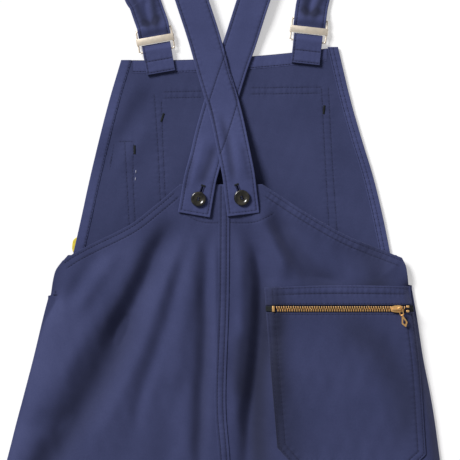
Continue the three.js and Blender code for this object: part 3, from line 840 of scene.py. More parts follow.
@dataclass(frozen=True)
class Fold:
    """A soft ridge or valley in cloth, with shade painted along it; with no height it is painted shade alone.
    """

    points: Points  # its line, end to end
    height: float  # how far it rises; a valley is negative
    width: float  # its half width on the left of the line
    other: float | None = None  # its half width on the right, where that differs
    painted_fold_shade: float = 0.0  # how much shade is painted along it

    def shifted(self, by: float) -> "Fold":
        """The same fold, moved along its map's first axis."""
        return replace(self, points=[(x + by, y) for x, y in self.points])

    def shape(self, spots: Array) -> Array:
        """How strongly the fold shows at the given points, from 0 to 1.

        Args:
            spots: Points of the map, one per row.

        Returns:
            A strength for each point.
        """
        line = curve(self.points, 6.0)
        reach = 3.0 * max(self.width, self.other or 0)
        gap, along, side = near(line, spots, reach)
        width = np.where(side > 0, self.width, self.other or self.width)
        length = arc_length(line)[-1]
        ends = ramp(along, 0, 0.25 * length) * ramp(-along, -length, -0.72 * length)
        return np.exp(-np.square(np.minimum(gap, reach * 9) / width)) * ends


@dataclass(frozen=True)
class Seam:
    """A row of machine stitches."""

    line: Array  # the points of the row
    stitch: float = 2.6  # the length of one stitch
    space: float = 0.9  # the gap between two stitches
    thick: float = 0.24  # the thread's radius
    sink: float = 0.35  # how deep the row pulls the cloth down
    pucker: float = 0.12  # how high the cloth puckers beside the row
    dark: float = 0.8  # how strongly shade is painted along the crease of the row

    def relief(self, spots: Array) -> tuple[Array, Array]:
        """The height that the row adds at the given points, and the shade painted along its crease.

        Args:
            spots: Points of the map, one per row.

        Returns:
            The added height, and the darkness.
        """
        gap, along, _ = near(self.line, spots, 9.0)
        groove = bump(gap, 1.1)
        waves = np.sin(along * 0.9 + 2.1 * np.sin(along * 0.13)) * bump(gap - 2.0, 3.0)
        # the second value is shade painted along the row's crease
        return self.pucker * waves - self.sink * groove, self.dark * bump(gap, 0.6)


def threads(starts: Array, ends: Array, radius: float, arch: float) -> Solid:
    """Many short stitches, each a small arched bar.

    Args:
        starts: Where each stitch comes out of the cloth.
        ends: Where each stitch goes back in.
        radius: The thread's radius.
        arch: How far the middle of a stitch stands above its ends.

    Returns:
        All the stitches as one solid.
    """
    sides = 6
    steps = np.array([0.0, 0.14, 0.5, 0.86, 1.0])
    sizes = radius * np.array([0.45, 0.95, 1.0, 0.95, 0.45])
    rise = arch * np.array([-0.9, 0.55, 1.0, 0.55, -0.9])
    along = ends - starts
    along /= np.maximum(np.linalg.norm(along, axis=1, keepdims=True), 1e-9)
    across = np.cross(along, [0.0, 0.0, 1.0])
    across /= np.maximum(np.linalg.norm(across, axis=1, keepdims=True), 1e-9)
    up = np.cross(across, along)
    middle = starts[:, None] + (ends - starts)[:, None] * steps[:, None] + up[:, None] * rise[:, None]
    turn = np.linspace(0, 2 * math.pi, sides, endpoint=False)
    ring = across[:, None] * np.cos(turn)[None, :, None] + up[:, None] * np.sin(turn)[None, :, None]
    rings = middle[:, :, None] + ring[:, None] * sizes[None, :, None, None]
    caps = np.arange(sides)
    each = len(steps) * sides
    base = np.arange(len(starts))[:, None, None] * each
    walls = (grid_faces(len(steps), sides, True)[None] + base).reshape(-1, 4)
    first = (caps[None, None, ::-1] + base).reshape(-1, sides)
    last = (caps[None, None] + each - sides + base).reshape(-1, sides)
    solid = Solid()
    solid.add(rings.reshape(-1, 3), walls, first, last)
    return solid


@dataclass
class Cloth:
    """A piece of sewn cloth that lies over a plane map of itself."""

    name: str  # the piece's name
    nodes: tuple[str, ...]  # the CAD nodes that it replaces
    slot: str = "moleskin"  # the record's material slot
    thickness: float = CLOTH  # how thick it is
    seams: list[Seam] = field(default_factory=list)  # its rows of stitches
    folds: list[Fold] = field(default_factory=list)  # its folds
    ripple: Ripple | None = None  # its small waves, if any
    held: Held = Held.LAID  # how it is held
    rests_on: tuple[str, ...] = ("ground",)  # the nodes, or the ground, that it lies on

    def base(self, spots: Array) -> Array:
        """The height of the piece before its folds and seams."""
        raise NotImplementedError

    def place(self, spots: Array, height: Array) -> Array:
        """The points in space for points of the map at the given heights."""
        return np.column_stack([spots, height])

    def drape(self, spots: Array) -> tuple[Array, Array]:
        """What the folds and the ripple add to the height, and the shade painted along the folds.

        Args:
            spots: Points of the map, one per row.

        Returns:
            The added height, and the painted shade.
        """
        height = np.zeros(len(spots))
        painted_fold_shade = np.zeros(len(spots))
        for fold in self.folds:
            shape = fold.shape(spots)
            height += fold.height * shape
            # shade painted along the fold
            painted_fold_shade += fold.painted_fold_shade * shape
        if self.ripple:
            height += self.ripple.at(spots)
        return height, painted_fold_shade

    def inner(self, spots: Array, height: Array, drop: Array) -> Array:
        """The height of the inner face under an outer face, with its rim rounded by the drop."""
        return height - self.thickness + 0.6 * drop

    def relief(self, spots: Array) -> tuple[Array, Array]:
        """The height of the outer face, and its painted shade, at the given points.

        Args:
            spots: Points of the map, one per row.

        Returns:
            The height, and the painted shade from 0 to 1.
        """
        height, painted_shade = self.drape(spots)
        height = height + self.base(spots)
        for seam in self.seams:
            lift, dark = seam.relief(spots)
            height = height + lift
            # each seam adds shade painted along its crease
            painted_shade = painted_shade + (1 - np.clip(painted_shade, 0, 1)) * dark
        return height, np.clip(painted_shade, 0, 1)

    def sheet(self, grid: Array, material: Material, edge: float = 0.5) -> Piece:
        """Builds the cloth over a grid of points of its map.

        Args:
            grid: Rows by columns by 2.
            material: What it is made of.
            edge: The radius of its rounded rim.

        Returns:
            The new piece, riding on the garment.
        """
        rows, columns = grid.shape[:2]
        spots = grid.reshape(-1, 2)
        height, painted_shade = self.relief(spots)
        rims = (grid[:1], grid[-1:], grid[:, :1], grid[:, -1:])
        gap = np.min([np.linalg.norm(grid - rim, axis=2) for rim in rims], axis=0).ravel()
        inside = np.clip(gap / edge, 0, 1)
        drop = edge * (1 - np.sqrt(1 - np.square(1 - inside)))
        top = self.place(spots, height - drop).reshape(rows, columns, 3)
        under = self.place(spots, self.inner(spots, height, drop)).reshape(rows, columns, 3)
        piece = shell(top, under).build(self.name, material)
        # the shade painted along folds and seams, kept on the mesh for the cloth material
        marks = piece.data.attributes.new("painted_shade", "FLOAT", "POINT")
        marks.data.foreach_set("value", np.tile(painted_shade, 2))
        own(piece, self.slot, *self.nodes)
        self.declare(piece, grid)
        return piece

    def declare(self, piece: Piece, grid: Array) -> None:
        """Args:
            piece: The finished cloth.
            grid: The points of its map, as rows by columns by 2.
        """
        along = np.linalg.norm(np.diff(grid, axis=0), axis=2).sum(axis=0).max() * MM
        across = np.linalg.norm(np.diff(grid, axis=1), axis=2).sum(axis=1).max() * MM
        ring = np.concatenate([grid[0], grid[1:, -1], grid[-1, -2::-1], grid[-2:0:-1, 0]]) * MM
        after = np.roll(ring, -1, axis=0)
        area = abs(np.sum(ring[:, 0] * after[:, 1] - ring[:, 1] * after[:, 0])) / 2
        if min(along, across) < 0.0102:
            LOG.info("%s is a ribbon, too narrow to declare", piece.name)
            return
        area = float(np.clip(area, 0.31 * along * across, 0.999 * along * across))

    def on_top(self, spots: Array, rise: float) -> Array:
        """The points in space just above the face that looks up."""
        return self.place(spots, self.relief(spots)[0] + rise)

    def sew(self, material: Material) -> Piece | None:
        """Lays the stitches of every seam on the cloth.

        Args:
            material: The thread's material.

        Returns:
            The stitches as one piece, or None where there is no seam.
        """
        starts = []
        ends = []
        for seam in self.seams:
            length = arc_length(seam.line)[-1]
            begin = np.arange(0.6, length - seam.stitch, seam.stitch + seam.space)
            starts.append(at_distance(seam.line, begin))
            ends.append(at_distance(seam.line, begin + seam.stitch))
        if not starts:
            return None
        a, b = (self.on_top(np.vstack(spots), 0.1) for spots in (starts, ends))
        piece = threads(a, b, self.seams[0].thick, 0.16).build(self.name + "_stitches", material)
        return own(piece, "thread")


def ruled_grid(left: Array, right: Array, columns: int, rim: float = 0.5) -> Array:
    """A grid of points between two lines with the same number of points.

    Args:
        left: One edge, a point for each row.
        right: The other edge.
        columns: The number of points across the middle.
        rim: The width of the finer strip along each edge.

    Returns:
        Rows by columns by 2.
    """
    width = float(np.median(np.linalg.norm(right - left, axis=1)))
    fine = np.array([0.0, 0.35, 0.8]) * rim / width
    middle = np.linspace(1.4 * rim / width, 1 - 1.4 * rim / width, columns)
    u = np.concatenate([fine, middle, 1 - fine[::-1]])
    return left[:, None] + (right - left)[:, None] * u[None, :, None]


@dataclass
class Assembly:
    """A sub-assembly, made of the shared materials."""

    palette: Palette


# ---- outlines of the garment

BIB_LEFT = [(-123, 222), (-136, 178), (-148, 132), (-159, 86), (-169, 40), (-178, 0), (-180, -10)]
BIB_RIGHT = [(126, 237), (140, 178), (153, 132), (167, 86), (178, 40), (186, 0), (187, -10)]
BIB_SAG = 5.0  # how far the bib's top edge hangs between its corners

ARMHOLE_LEFT = [(-55, 79), (-84, 54.5), (-113, 32.5), (-155, 11.5), (-176, 0.5), (-190, -8.5)]
ARMHOLE_RIGHT = [(39, 79), (62, 64), (88, 47), (134, 21), (181, 2), (199, -5)]
VENT_LEFT = [(-190, -8.5), (-197.5, -19), (-201, -31), (-204, -48)]
VENT_RIGHT = [(199, -5), (203.4, -14), (205.4, -25), (206.8, -36)]
SIDE_LEFT = [(-207, -52), (-213, -75), (-224, -121), (-236, -167), (-248, -213), (-271, -310), (-284, -420)]
SIDE_RIGHT = [(211, -41), (217, -75), (224, -121), (233, -167), (240, -213), (252, -310), (262, -420)]
HEM_LEFT = (-292, -64)  # outer and inner end
HEM_RIGHT = (272, 46)
SEAT = [(0, 79), (-1, -52), (-4.6, -167), (0, -236), (2, -310)]
INSEAM_LEFT = [(2, -310), (-9, -345), (-24, -460)]
INSEAM_RIGHT = [(2, -310), (12, -345), (24, -460)]
VENT_FOOT = -52
WAIST_HALF = 18


@dataclass(frozen=True)
class Half:
    """The outlines of one half of the garment."""

    side: Side  # which half it is
    armhole: Points  # the back's edge, from beside the strap to the side
    vent: Points  # the round corner, down to the side opening's foot
    seam: Points  # the side seam, from there to the knee
    hem: Pair  # the x of the hem's outer and inner end
    inseam: Points  # the inside-leg seam, from the crotch to the knee
    front: float  # the x of the front panel beside the side opening

    def outer(self) -> Array:
        """The side seam from the opening's foot to the hem."""
        return np.vstack([curve(self.seam, 5.0), [[self.hem[0], HEM_Y]]])

    def inner(self) -> Array:
        """The seat seam and the inside-leg seam, from the top to the hem."""
        seat = curve(SEAT, 5.0)
        leg = curve(self.inseam, 5.0)[1:]
        return np.vstack([seat, leg, [[self.hem[1], HEM_Y]]])

    def hem_row(self) -> Seam:
        """The row of stitches above the hem."""
        inward = -3 * self.side.value
        ends = (self.hem[0] + inward, HEM_Y + 22), (self.hem[1] - inward, HEM_Y + 22)
        return Seam(corners(*ends), sink=0.6, pucker=0.3)

    def leg(self) -> Array:
        """The inside-leg seam alone."""
        return np.vstack([curve(self.inseam, 5.0), [[self.hem[1], HEM_Y]]])

    def grid(self, outer: Array, inner: Array, columns: int, rim: float) -> Array:
        """A grid between two edges, from the wearer's left to right.

        Args:
            outer: The edge at the side.
            inner: The edge at the middle.
            columns: The number of points across.
            rim: The width of the finer strips.

        Returns:
            Rows by columns by 2.
        """
        if self.side is Side.LEFT:
            return ruled_grid(outer, inner, columns, rim)
        return ruled_grid(inner, outer, columns, rim)


HALVES = (
    Half(Side.LEFT, ARMHOLE_LEFT, VENT_LEFT, SIDE_LEFT, HEM_LEFT, INSEAM_LEFT, -166),
    Half(Side.RIGHT, ARMHOLE_RIGHT, VENT_RIGHT, SIDE_RIGHT, HEM_RIGHT, INSEAM_RIGHT, 174),
)


def x_at(line: Array, y: Array) -> Array:
    """The x of a falling line at the given heights."""
    return np.interp(-y, -line[:, 1], line[:, 0])


def falling(top: float, fine_to: float, foot: float, fine: float, coarse: float) -> Array:
    """Heights from top to foot, close together down to fine_to and then wider apart.

    Args:
        top: The first height.
        fine_to: Where the wider steps begin.
        foot: The last height.
        fine: The small step.
        coarse: The wide step.

    Returns:
        The heights.
    """
    near_rows = np.arange(top, fine_to, -fine)
    far_rows = np.linspace(fine_to, foot, max(2, int((fine_to - foot) / coarse)))
    return np.concatenate([near_rows, far_rows])


# ---- the back

# The fifth figure of a fold is the shade painted along it; a fold with no height is painted shade alone.
BACK_FOLDS = [
    # The long valley from the left tab to the hip, with a ridge on each side.
    Fold([(-58, 46), (-68, 26), (-82, 0), (-94, -28), (-118, -74), (-142, -118)], -9.5, 15, 12, 0.2),
    Fold(
        [(-92, -50), (-110, -78), (-128, -108), (-146, -142), (-165, -176)]
        + [(-187, -212), (-214, -256), (-250, -330)],
        -11.0,
        20,
        20,
        0.45,
    ),
    Fold([(-92, 28), (-107, -2), (-131, -50), (-156, -88), (-190, -140), (-215, -196)], 3.0, 15),
    Fold([(-50, 34), (-60, 4), (-76, -46), (-92, -92), (-118, -150), (-146, -220)], 2.6, 10),
    Fold([(-44, 24), (-52, -10), (-66, -64), (-84, -118), (-100, -166), (-112, -240)], -2.8, 9),
    Fold([(-34, 34), (-40, 0), (-48, -60), (-58, -120), (-66, -190)], 2.2, 11),
    Fold([(-22, 36), (-25, 0), (-26, -52), (-27, -105), (-30, -153), (-32, -210), (-34, -300)], -6.0, 8, 9),
    # Painted shade beside the valley left of the seat, with no fold.
    Fold([(-28, -20), (-28, -80), (-29, -140), (-31, -200), (-32, -270)], 0, 9, 9, 0.4),
    Fold([(-15, 24), (-15, -10), (-15, -50), (-14, -100), (-13, -170)], 1.6, 4),
    # The folds to the right of the seat seam.
    Fold([(9, 34), (13, 4), (15, -40), (14, -90), (10, -140), (6, -210)], 2.6, 7),
    Fold(
        [(12, 48), (20, 32), (30, 8), (36, -20), (37, -52), (34, -106), (29, -153), (24, -190), (22, -280)],
        -12.0,
        15,
        9,
    ),
    # Painted shadow down the deep valley right of the seat, with no fold.
    Fold([(36, 0), (41, -60), (41, -100), (35, -140), (34, -180), (34, -220), (38, -300)], 0, 15, 12, 0.85),
    Fold([(18, -84), (13, -116), (11, -136), (16, -176)], -1.2, 9, 9, 0.55),
    Fold([(30, 56), (42, 32), (56, 4), (66, -18), (72, -34)], 4.6, 9),
    Fold([(46, 60), (58, 34), (68, 15), (81, -7), (97, -25), (122, -40), (150, -48)], -7.0, 11, 11, 0.4),
    Fold([(66, 60), (88, 40), (114, 20), (144, 0)], 3.0, 11),
    Fold([(150, 18), (164, -2), (172, -28), (170, -60)], -3.0, 18, 18, 0.45),
    # Painted shadow above the pocket's band, with no fold.
    Fold([(64, -34), (104, -45), (150, -42), (196, -31)], 0, 9, 9, 0.4),
    # Soft hollows on the left hip.
    Fold([(-140, 8), (-168, -30), (-190, -66)], -2.6, 10),
    Fold([(-124, 8), (-148, -30), (-176, -72)], 2.2, 9),
    Fold([(-228, -210), (-205, -190), (-180, -200)], -2.4, 14),
    Fold([(-60, -130), (-66, -190), (-70, -260)], -2.2, 14),
]
POCKET_FOLDS = [
    Fold([(84, -110), (96, -160), (104, -220)], 0.9, 26),
    # Painted shade, with no folds, beside the left edge and down from the zip to the right foot.
    Fold([(48, 0), (53, -50), (55, -90), (53, -125), (50, -160), (49, -200), (52, -300)], 0, 13, 13, 0.95),
    Fold([(58, -110), (64, -160), (70, -210), (74, -320)], 0, 20, 20, 0.4),
    Fold(
        [(112, -60), (134, -76), (152, -92), (172, -108), (185, -130), (198, -152), (204, -182), (196, -240)],
        0,
        19,
        19,
        0.5,
    ),
]


@dataclass
class BackCloth(Cloth):
    """Cloth of the back, which rolls down to the ground at the side seams."""

    rim: float = 3.2
    flat: tuple[float, float, float, float] = (56.0, 212.0, -80.0, -44.0)

    def base(self, spots: Array) -> Array:
        """The height of the back before its folds and seams.

        Args:
            spots: Points of the map, one per row.

        Returns:
            A height for each point.
        """
        height = np.full(len(spots), np.inf)
        for half in HALVES:
            wide = 15.0 if half.side is Side.LEFT else 6.5
            below = ramp(-spots[:, 1], 250, 420)
            wide = wide + (16.0 - wide) * below
            for line in (half.outer(), half.leg()):
                gap, _, _ = near(line, spots, 110.0)
                rise = 1 - np.exp(-np.power(np.minimum(gap, 400) / wide, 1.35))
                height = np.minimum(height, self.rim + (BACK_TOP - self.rim) * rise)
            gap, along, _ = near(curve(half.armhole + half.vent[1:], 4.0), spots, 60.0)
            droop = 5.5 * ramp(along, 40, 150) * bump(gap, 26.0)
            height = height - droop
        return np.maximum(height, self.rim)

    def relief(self, spots: Array) -> tuple[Array, Array]:
        """The back's outer face; its folds die out at the side seams and under the zip.

        Args:
            spots: Points of the map, one per row.

        Returns:
            The height, and the painted shade from 0 to 1.
        """
        height, painted_shade = super().relief(spots)
        plain = self.base(spots)
        low_x, high_x, low_y, high_y = self.flat
        around = 18.0
        inside_x = ramp(spots[:, 0], low_x - around, low_x) * ramp(-spots[:, 0], -high_x - around, -high_x)
        inside_y = ramp(spots[:, 1], low_y - around, low_y) * ramp(-spots[:, 1], -high_y - around, -high_y)
        calm = inside_x * inside_y
        edge = ramp(plain, self.rim, self.rim + 8)
        lift = (height - plain) * (1 - calm) * (0.25 + 0.75 * edge)
        return np.maximum(plain + lift, CLOTH + 1.7), painted_shade


def back_seams(half: Half) -> list[Seam]:
    """The stitch rows that show on one half of the back.

    Args:
        half: The half of the garment.

    Returns:
        The rows.
    """
    inward = -half.side.value
    edge = curve(half.armhole, 3.0)
    facing = curve([(0, 35), (inward * -30, 36), (inward * -52, 46)], 3.0)
    return [
        Seam(offset(edge, 3.2 * inward)[4:], sink=0.2, dark=0.3),
        Seam(offset(edge, 9.8 * inward)[4:], sink=0.3, dark=0.5),
        Seam(facing, sink=0.25, pucker=0.05, dark=0.3),
        half.hem_row(),
    ]


@dataclass
class Back(Assembly):
    """The two back panels with the felled seat seam."""

    fine: float = 1.7
    coarse: float = 8.0
    fell: Pair = (-11.0, 1.8)
    shared: BackCloth = field(default_factory=lambda: BackCloth("back", ()))

    def __post_init__(self) -> None:
        """Collects the folds and seams that the whole back shares."""
        self.shared.folds = BACK_FOLDS
        self.shared.ripple = Ripple(7, 0.6, 14, 110, 20)
        self.shared.seams = [seam for half in HALVES for seam in back_seams(half)]

    def panel(self, half: Half) -> None:
        """Builds one back panel and its stitches.

        Args:
            half: The half of the garment.
        """
        edge = curve(half.armhole, self.fine)
        edge = np.vstack([edge, curve(half.vent, self.fine)[1:]])
        inner = half.inner()
        arc = arc_length(edge)
        foot = edge[-1, 1]
        start_y = np.interp(arc, [0, arc[-1]], [79.0, foot])
        rows = falling(foot - 1.0, -330.0, HEM_Y, self.fine, self.coarse)
        side = np.column_stack([x_at(half.outer(), rows), rows])
        y = np.concatenate([start_y, rows])
        gap = 0.2 * half.side.value
        middle = np.column_stack([x_at(inner, y) + gap, y])
        grid = half.grid(np.vstack([edge, side]), middle, 150, 0.6)
        cloth = BackCloth(f"back_leg_{half.side.word}_cloth", (f"back_leg_{half.side.word}",))
        cloth.folds = self.shared.folds
        cloth.ripple = self.shared.ripple
        cloth.seams = back_seams(half)
        cloth.rests_on = ("front_bib", "front_leg_" + half.side.word)
        cloth.sheet(grid, self.palette.moleskin)
        cloth.sew(self.palette.thread)

    def seat_seam(self) -> None:
        """Builds the felled seam down the middle of the seat."""
        line = curve([(0, 78), *SEAT[1:]], 2.0)
        cloth = Fell("seat_seam_cloth", ("seat_seam",), thickness=1.0)
        cloth.under = self.shared
        cloth.line = line
        low, high = self.fell
        cloth.seams = [
            Seam(line + [high - 3.6, 0], stitch=2.8, thick=0.27, sink=0.4),
            Seam(line + [low + 2.9, 0], stitch=2.8, thick=0.27, sink=0.4),
        ]
        cloth.edges = (low, high)
        grid = ruled_grid(line + [low, 0], line + [high, 0], 16, 0.4)
        cloth.sheet(grid, self.palette.moleskin, 0.35)
        cloth.sew(self.palette.thread)

    def facing(self) -> None:
        """Builds the facing inside the top of the back."""
        grids = {"middle": ruled_grid(corners((-52, 77), (-46, 40)), corners((36, 77), (33, 40)), 40, 0.4)}
        for half in HALVES:
            inward = -half.side.value
            line = curve(half.armhole, 4.0)
            edges = (offset(line, 1.5 * inward), offset(line, 14.5 * inward))
            grids[half.side.word] = ruled_grid(*edges, 8, 0.4)
        for word in ("left", "right", "middle"):
            cloth = Under(f"back_facing_{word}_cloth", ("back_top_facing",), "lining", 0.8)
            cloth.above = self.shared
            cloth.sheet(grids[word], self.palette.lining, 0.3)

    def build(self) -> None:
        """Builds the back."""
        for half in HALVES:
            self.panel(half)
        self.seat_seam()
        self.facing()


@dataclass
class Over(Cloth):
    """Cloth that lies on another cloth, at a fixed height above it."""

    under: Cloth | None = None
    rise: float = CLOTH + 0.15

    def base(self, spots: Array) -> Array:
        """The height of the cloth below, and the rise above it."""
        return self.under.relief(spots)[0] + self.rise


@dataclass
class Fell(Over):
    """A felled seam: a raised strip with one sharp edge and one that fades into the cloth."""

    line: Array | None = None
    edges: Pair = (0.0, 1.0)

    def base(self, spots: Array) -> Array:
        """The height of the strip, which fades out on its left.

        Args:
            spots: Points of the map, one per row.

        Returns:
            A height for each point.
        """
        across = spots[:, 0] - x_at(self.line, spots[:, 1])
        share = np.clip((across - self.edges[0]) / (self.edges[1] - self.edges[0]), 0, 1)
        return self.under.relief(spots)[0] + 0.25 + 0.75 * ramp(share, 0, 0.55)


@dataclass
class Under(Cloth):
    """Cloth that lies against the inner face of another cloth."""

    above: Cloth | None = None

    def base(self, spots: Array) -> Array:
        """The height just under the cloth above."""
        return self.above.relief(spots)[0] - CLOTH - 0.25


# ---- the front


@dataclass
class Flat(Cloth):
    """Cloth that lies flat at one height."""

    level: float = CLOTH

    def base(self, spots: Array) -> Array:
        """The same height everywhere."""
        return np.full(len(spots), self.level)


@dataclass(frozen=True)
class Patch:
    """A plain inner piece between two edges, each from the top down."""

    node: str  # the CAD node that it replaces
    left: Points  # its left edge
    right: Points  # its right edge
    level: float  # the height of its upper face
    slot: str = "moleskin"  # the record's material slot
    thickness: float = CLOTH  # how thick it is

    def mirrored(self) -> "Patch":
        """The same patch on the other side of the garment."""
        left, right = ([(-x, y) for x, y in edge] for edge in (self.right, self.left))
        node = self.node.replace("left", "right")
        return Patch(node, left, right, self.level, self.slot, self.thickness)


HIP_BAG = Patch(
    "hip_pocket_bag_left",
    [(-150, -24), (-160, -90), (-158, -180), (-136, -236)],
    [(-60, -24), (-62, -120), (-66, -200), (-104, -238)],
    2.3,
    "lining",
    0.8,
)
INNER_PATCHES = (
    Patch("chest_pocket", [(-85, 189), (-83, 120), (-72, 20)], [(113, 193), (118, 110), (112, 20)], 1.2),
    Patch(
        "pen_pocket_left",
        [(-133, 132), (-142, 76), (-152, 20)],
        [(-106, 131), (-105, 76), (-104, 20)],
        1.2,
    ),
    Patch("pen_pocket_right", [(116, 167), (121, 90), (126, 20)], [(133, 170), (148, 90), (161, 20)], 1.2),
    Patch("front_waistband", [(-168, 18), (-167, 0), (-166, -18)], [(176, 18), (175, 0), (174, -18)], 1.2),
    Patch("fly_shield", [(-20, -24), (-20, -110), (-18, -196)], [(24, -24), (24, -130), (6, -196)], 2.7),
    Patch(
        "side_placket_left",
        [(-184, -2), (-196, -18), (-201, -48)],
        [(-150, -2), (-150, -20), (-150, -50)],
        4.4,
    ),
    Patch(
        "side_placket_right",
        [(156, -2), (156, -20), (156, -50)],
        [(193, -2), (203, -16), (206, -48)],
        4.4,
    ),
    HIP_BAG,
    HIP_BAG.mirrored(),
)


@dataclass
class Front(Assembly):
    """The front leg panels, the seams that join them to the back, and the small inner pieces."""

    step: float = 5.0

    def panel(self, half: Half) -> None:
        """Builds one front leg panel.

        Args:
            half: The half of the garment.
        """
        word = half.side.word
        top = -WAIST_HALF - 0.3
        upper = np.array([top, -30.0, -42.0, VENT_FOOT])
        rows = falling(VENT_FOOT - 1.0, -340.0, HEM_Y, self.step, 9.0)
        outer = np.vstack(
            [
                np.column_stack([np.full(4, half.front), upper]),
                np.column_stack([x_at(half.outer(), rows), rows]),
            ]
        )
        y = np.concatenate([upper, rows])
        middle = np.column_stack([x_at(half.inner(), y) + 0.2 * half.side.value, y])
        cloth = Flat(f"front_leg_{word}_cloth", (f"front_leg_{word}",), level=CLOTH)
        cloth.seams = [replace(half.hem_row(), sink=0.2, pucker=0.0)]
        cloth.sheet(half.grid(outer, middle, 60, 0.5), self.palette.moleskin, 0.4)
        cloth.sew(self.palette.thread)

    def patch(self, plan: Patch) -> None:
        """Builds an inner piece with a stitch row inside each edge.

        Args:
            plan: Its edges and its level.
        """
        rows = []
        for edge in (plan.left, plan.right):
            line = curve(edge, 3.0)
            rows.append(at_distance(line, np.linspace(0, arc_length(line)[-1], 40)))
        cloth = Flat(plan.node + "_cloth", (plan.node,), plan.slot, plan.thickness, level=plan.level)
        cloth.ripple = Ripple(len(plan.node), 0.04, 20, 60)
        inset = [rows[0] + [2.5, 0], rows[1] - [2.5, 0]]
        cloth.seams = [Seam(line[2:-2], sink=0.15, pucker=0.03) for line in inset]
        material = self.palette.lining if plan.slot == "lining" else self.palette.moleskin
        cloth.sheet(ruled_grid(rows[0], rows[1], 36, 0.4), material, 0.3)
        cloth.sew(self.palette.thread)

    def seam(self, name: str, line: Array) -> None:
        """Builds the roll of cloth along a side or inside-leg seam.

        Args:
            name: The CAD node that it replaces.
            line: The seam's line.
        """
        line = curve(at_distance(line, np.arange(0, arc_length(line)[-1], 40.0)), 6.0)
        own(tube(raised(line, 1.75), 0.55, 8).build(name + "_roll", self.palette.moleskin), "moleskin", name)

    def build(self) -> None:
        """Builds the front."""
        for half in HALVES:
            self.panel(half)
            inward = -half.side.value
            self.seam("outseam_" + half.side.word, half.outer() + [0.8 * inward, 0])
            self.seam("inseam_" + half.side.word, half.leg()[1:] - [0.8 * inward, 0])
        for patch in INNER_PATCHES:
            self.patch(patch)


# ---- the bib

BIB_FOLDS = [
    Fold([(-70, 196), (-90, 178), (-118, 140), (-140, 104), (-150, 70)], -1.7, 15),
    Fold([(-100, 205), (-118, 170), (-138, 130)], 1.9, 13),
    Fold([(-88, 150), (-108, 120), (-128, 92)], 1.5, 12),
    Fold([(60, 200), (84, 150), (104, 100), (120, 50)], 0.9, 22),
    Fold([(120, 180), (132, 130), (146, 84)], -0.8, 10),
]


def bib_seams() -> list[Seam]:
    """The rows that hold the pockets, seen from inside the bib."""
    rows = [
        [(-85, 182), (-80.5, 112), (-77, 30)],
        [(-77, 175), (-75, 120), (-71, 30)],
        [(-74, 185.5), (-56, 186), (-31, 186.5)],
        [(-74, 178.5), (-56, 179), (-31, 179.5)],
        [(27, 190), (70, 190.6), (107, 191)],
        [(27, 183), (70, 183.6), (107, 184)],
        [(107, 190), (111, 110), (116, 24)],
        [(115, 190), (119, 110), (125, 24)],
        [(-119, 128), (-117, 90), (-113, 16)],
        [(-109, 126), (-109.5, 83), (-106, 16)],
        [(-126, 128), (-117, 128.5), (-108, 128)],
    ]
    return [Seam(curve(row, 3.0), 2.4, thick=0.18, sink=0.22, pucker=0.12, dark=0.4) for row in rows]


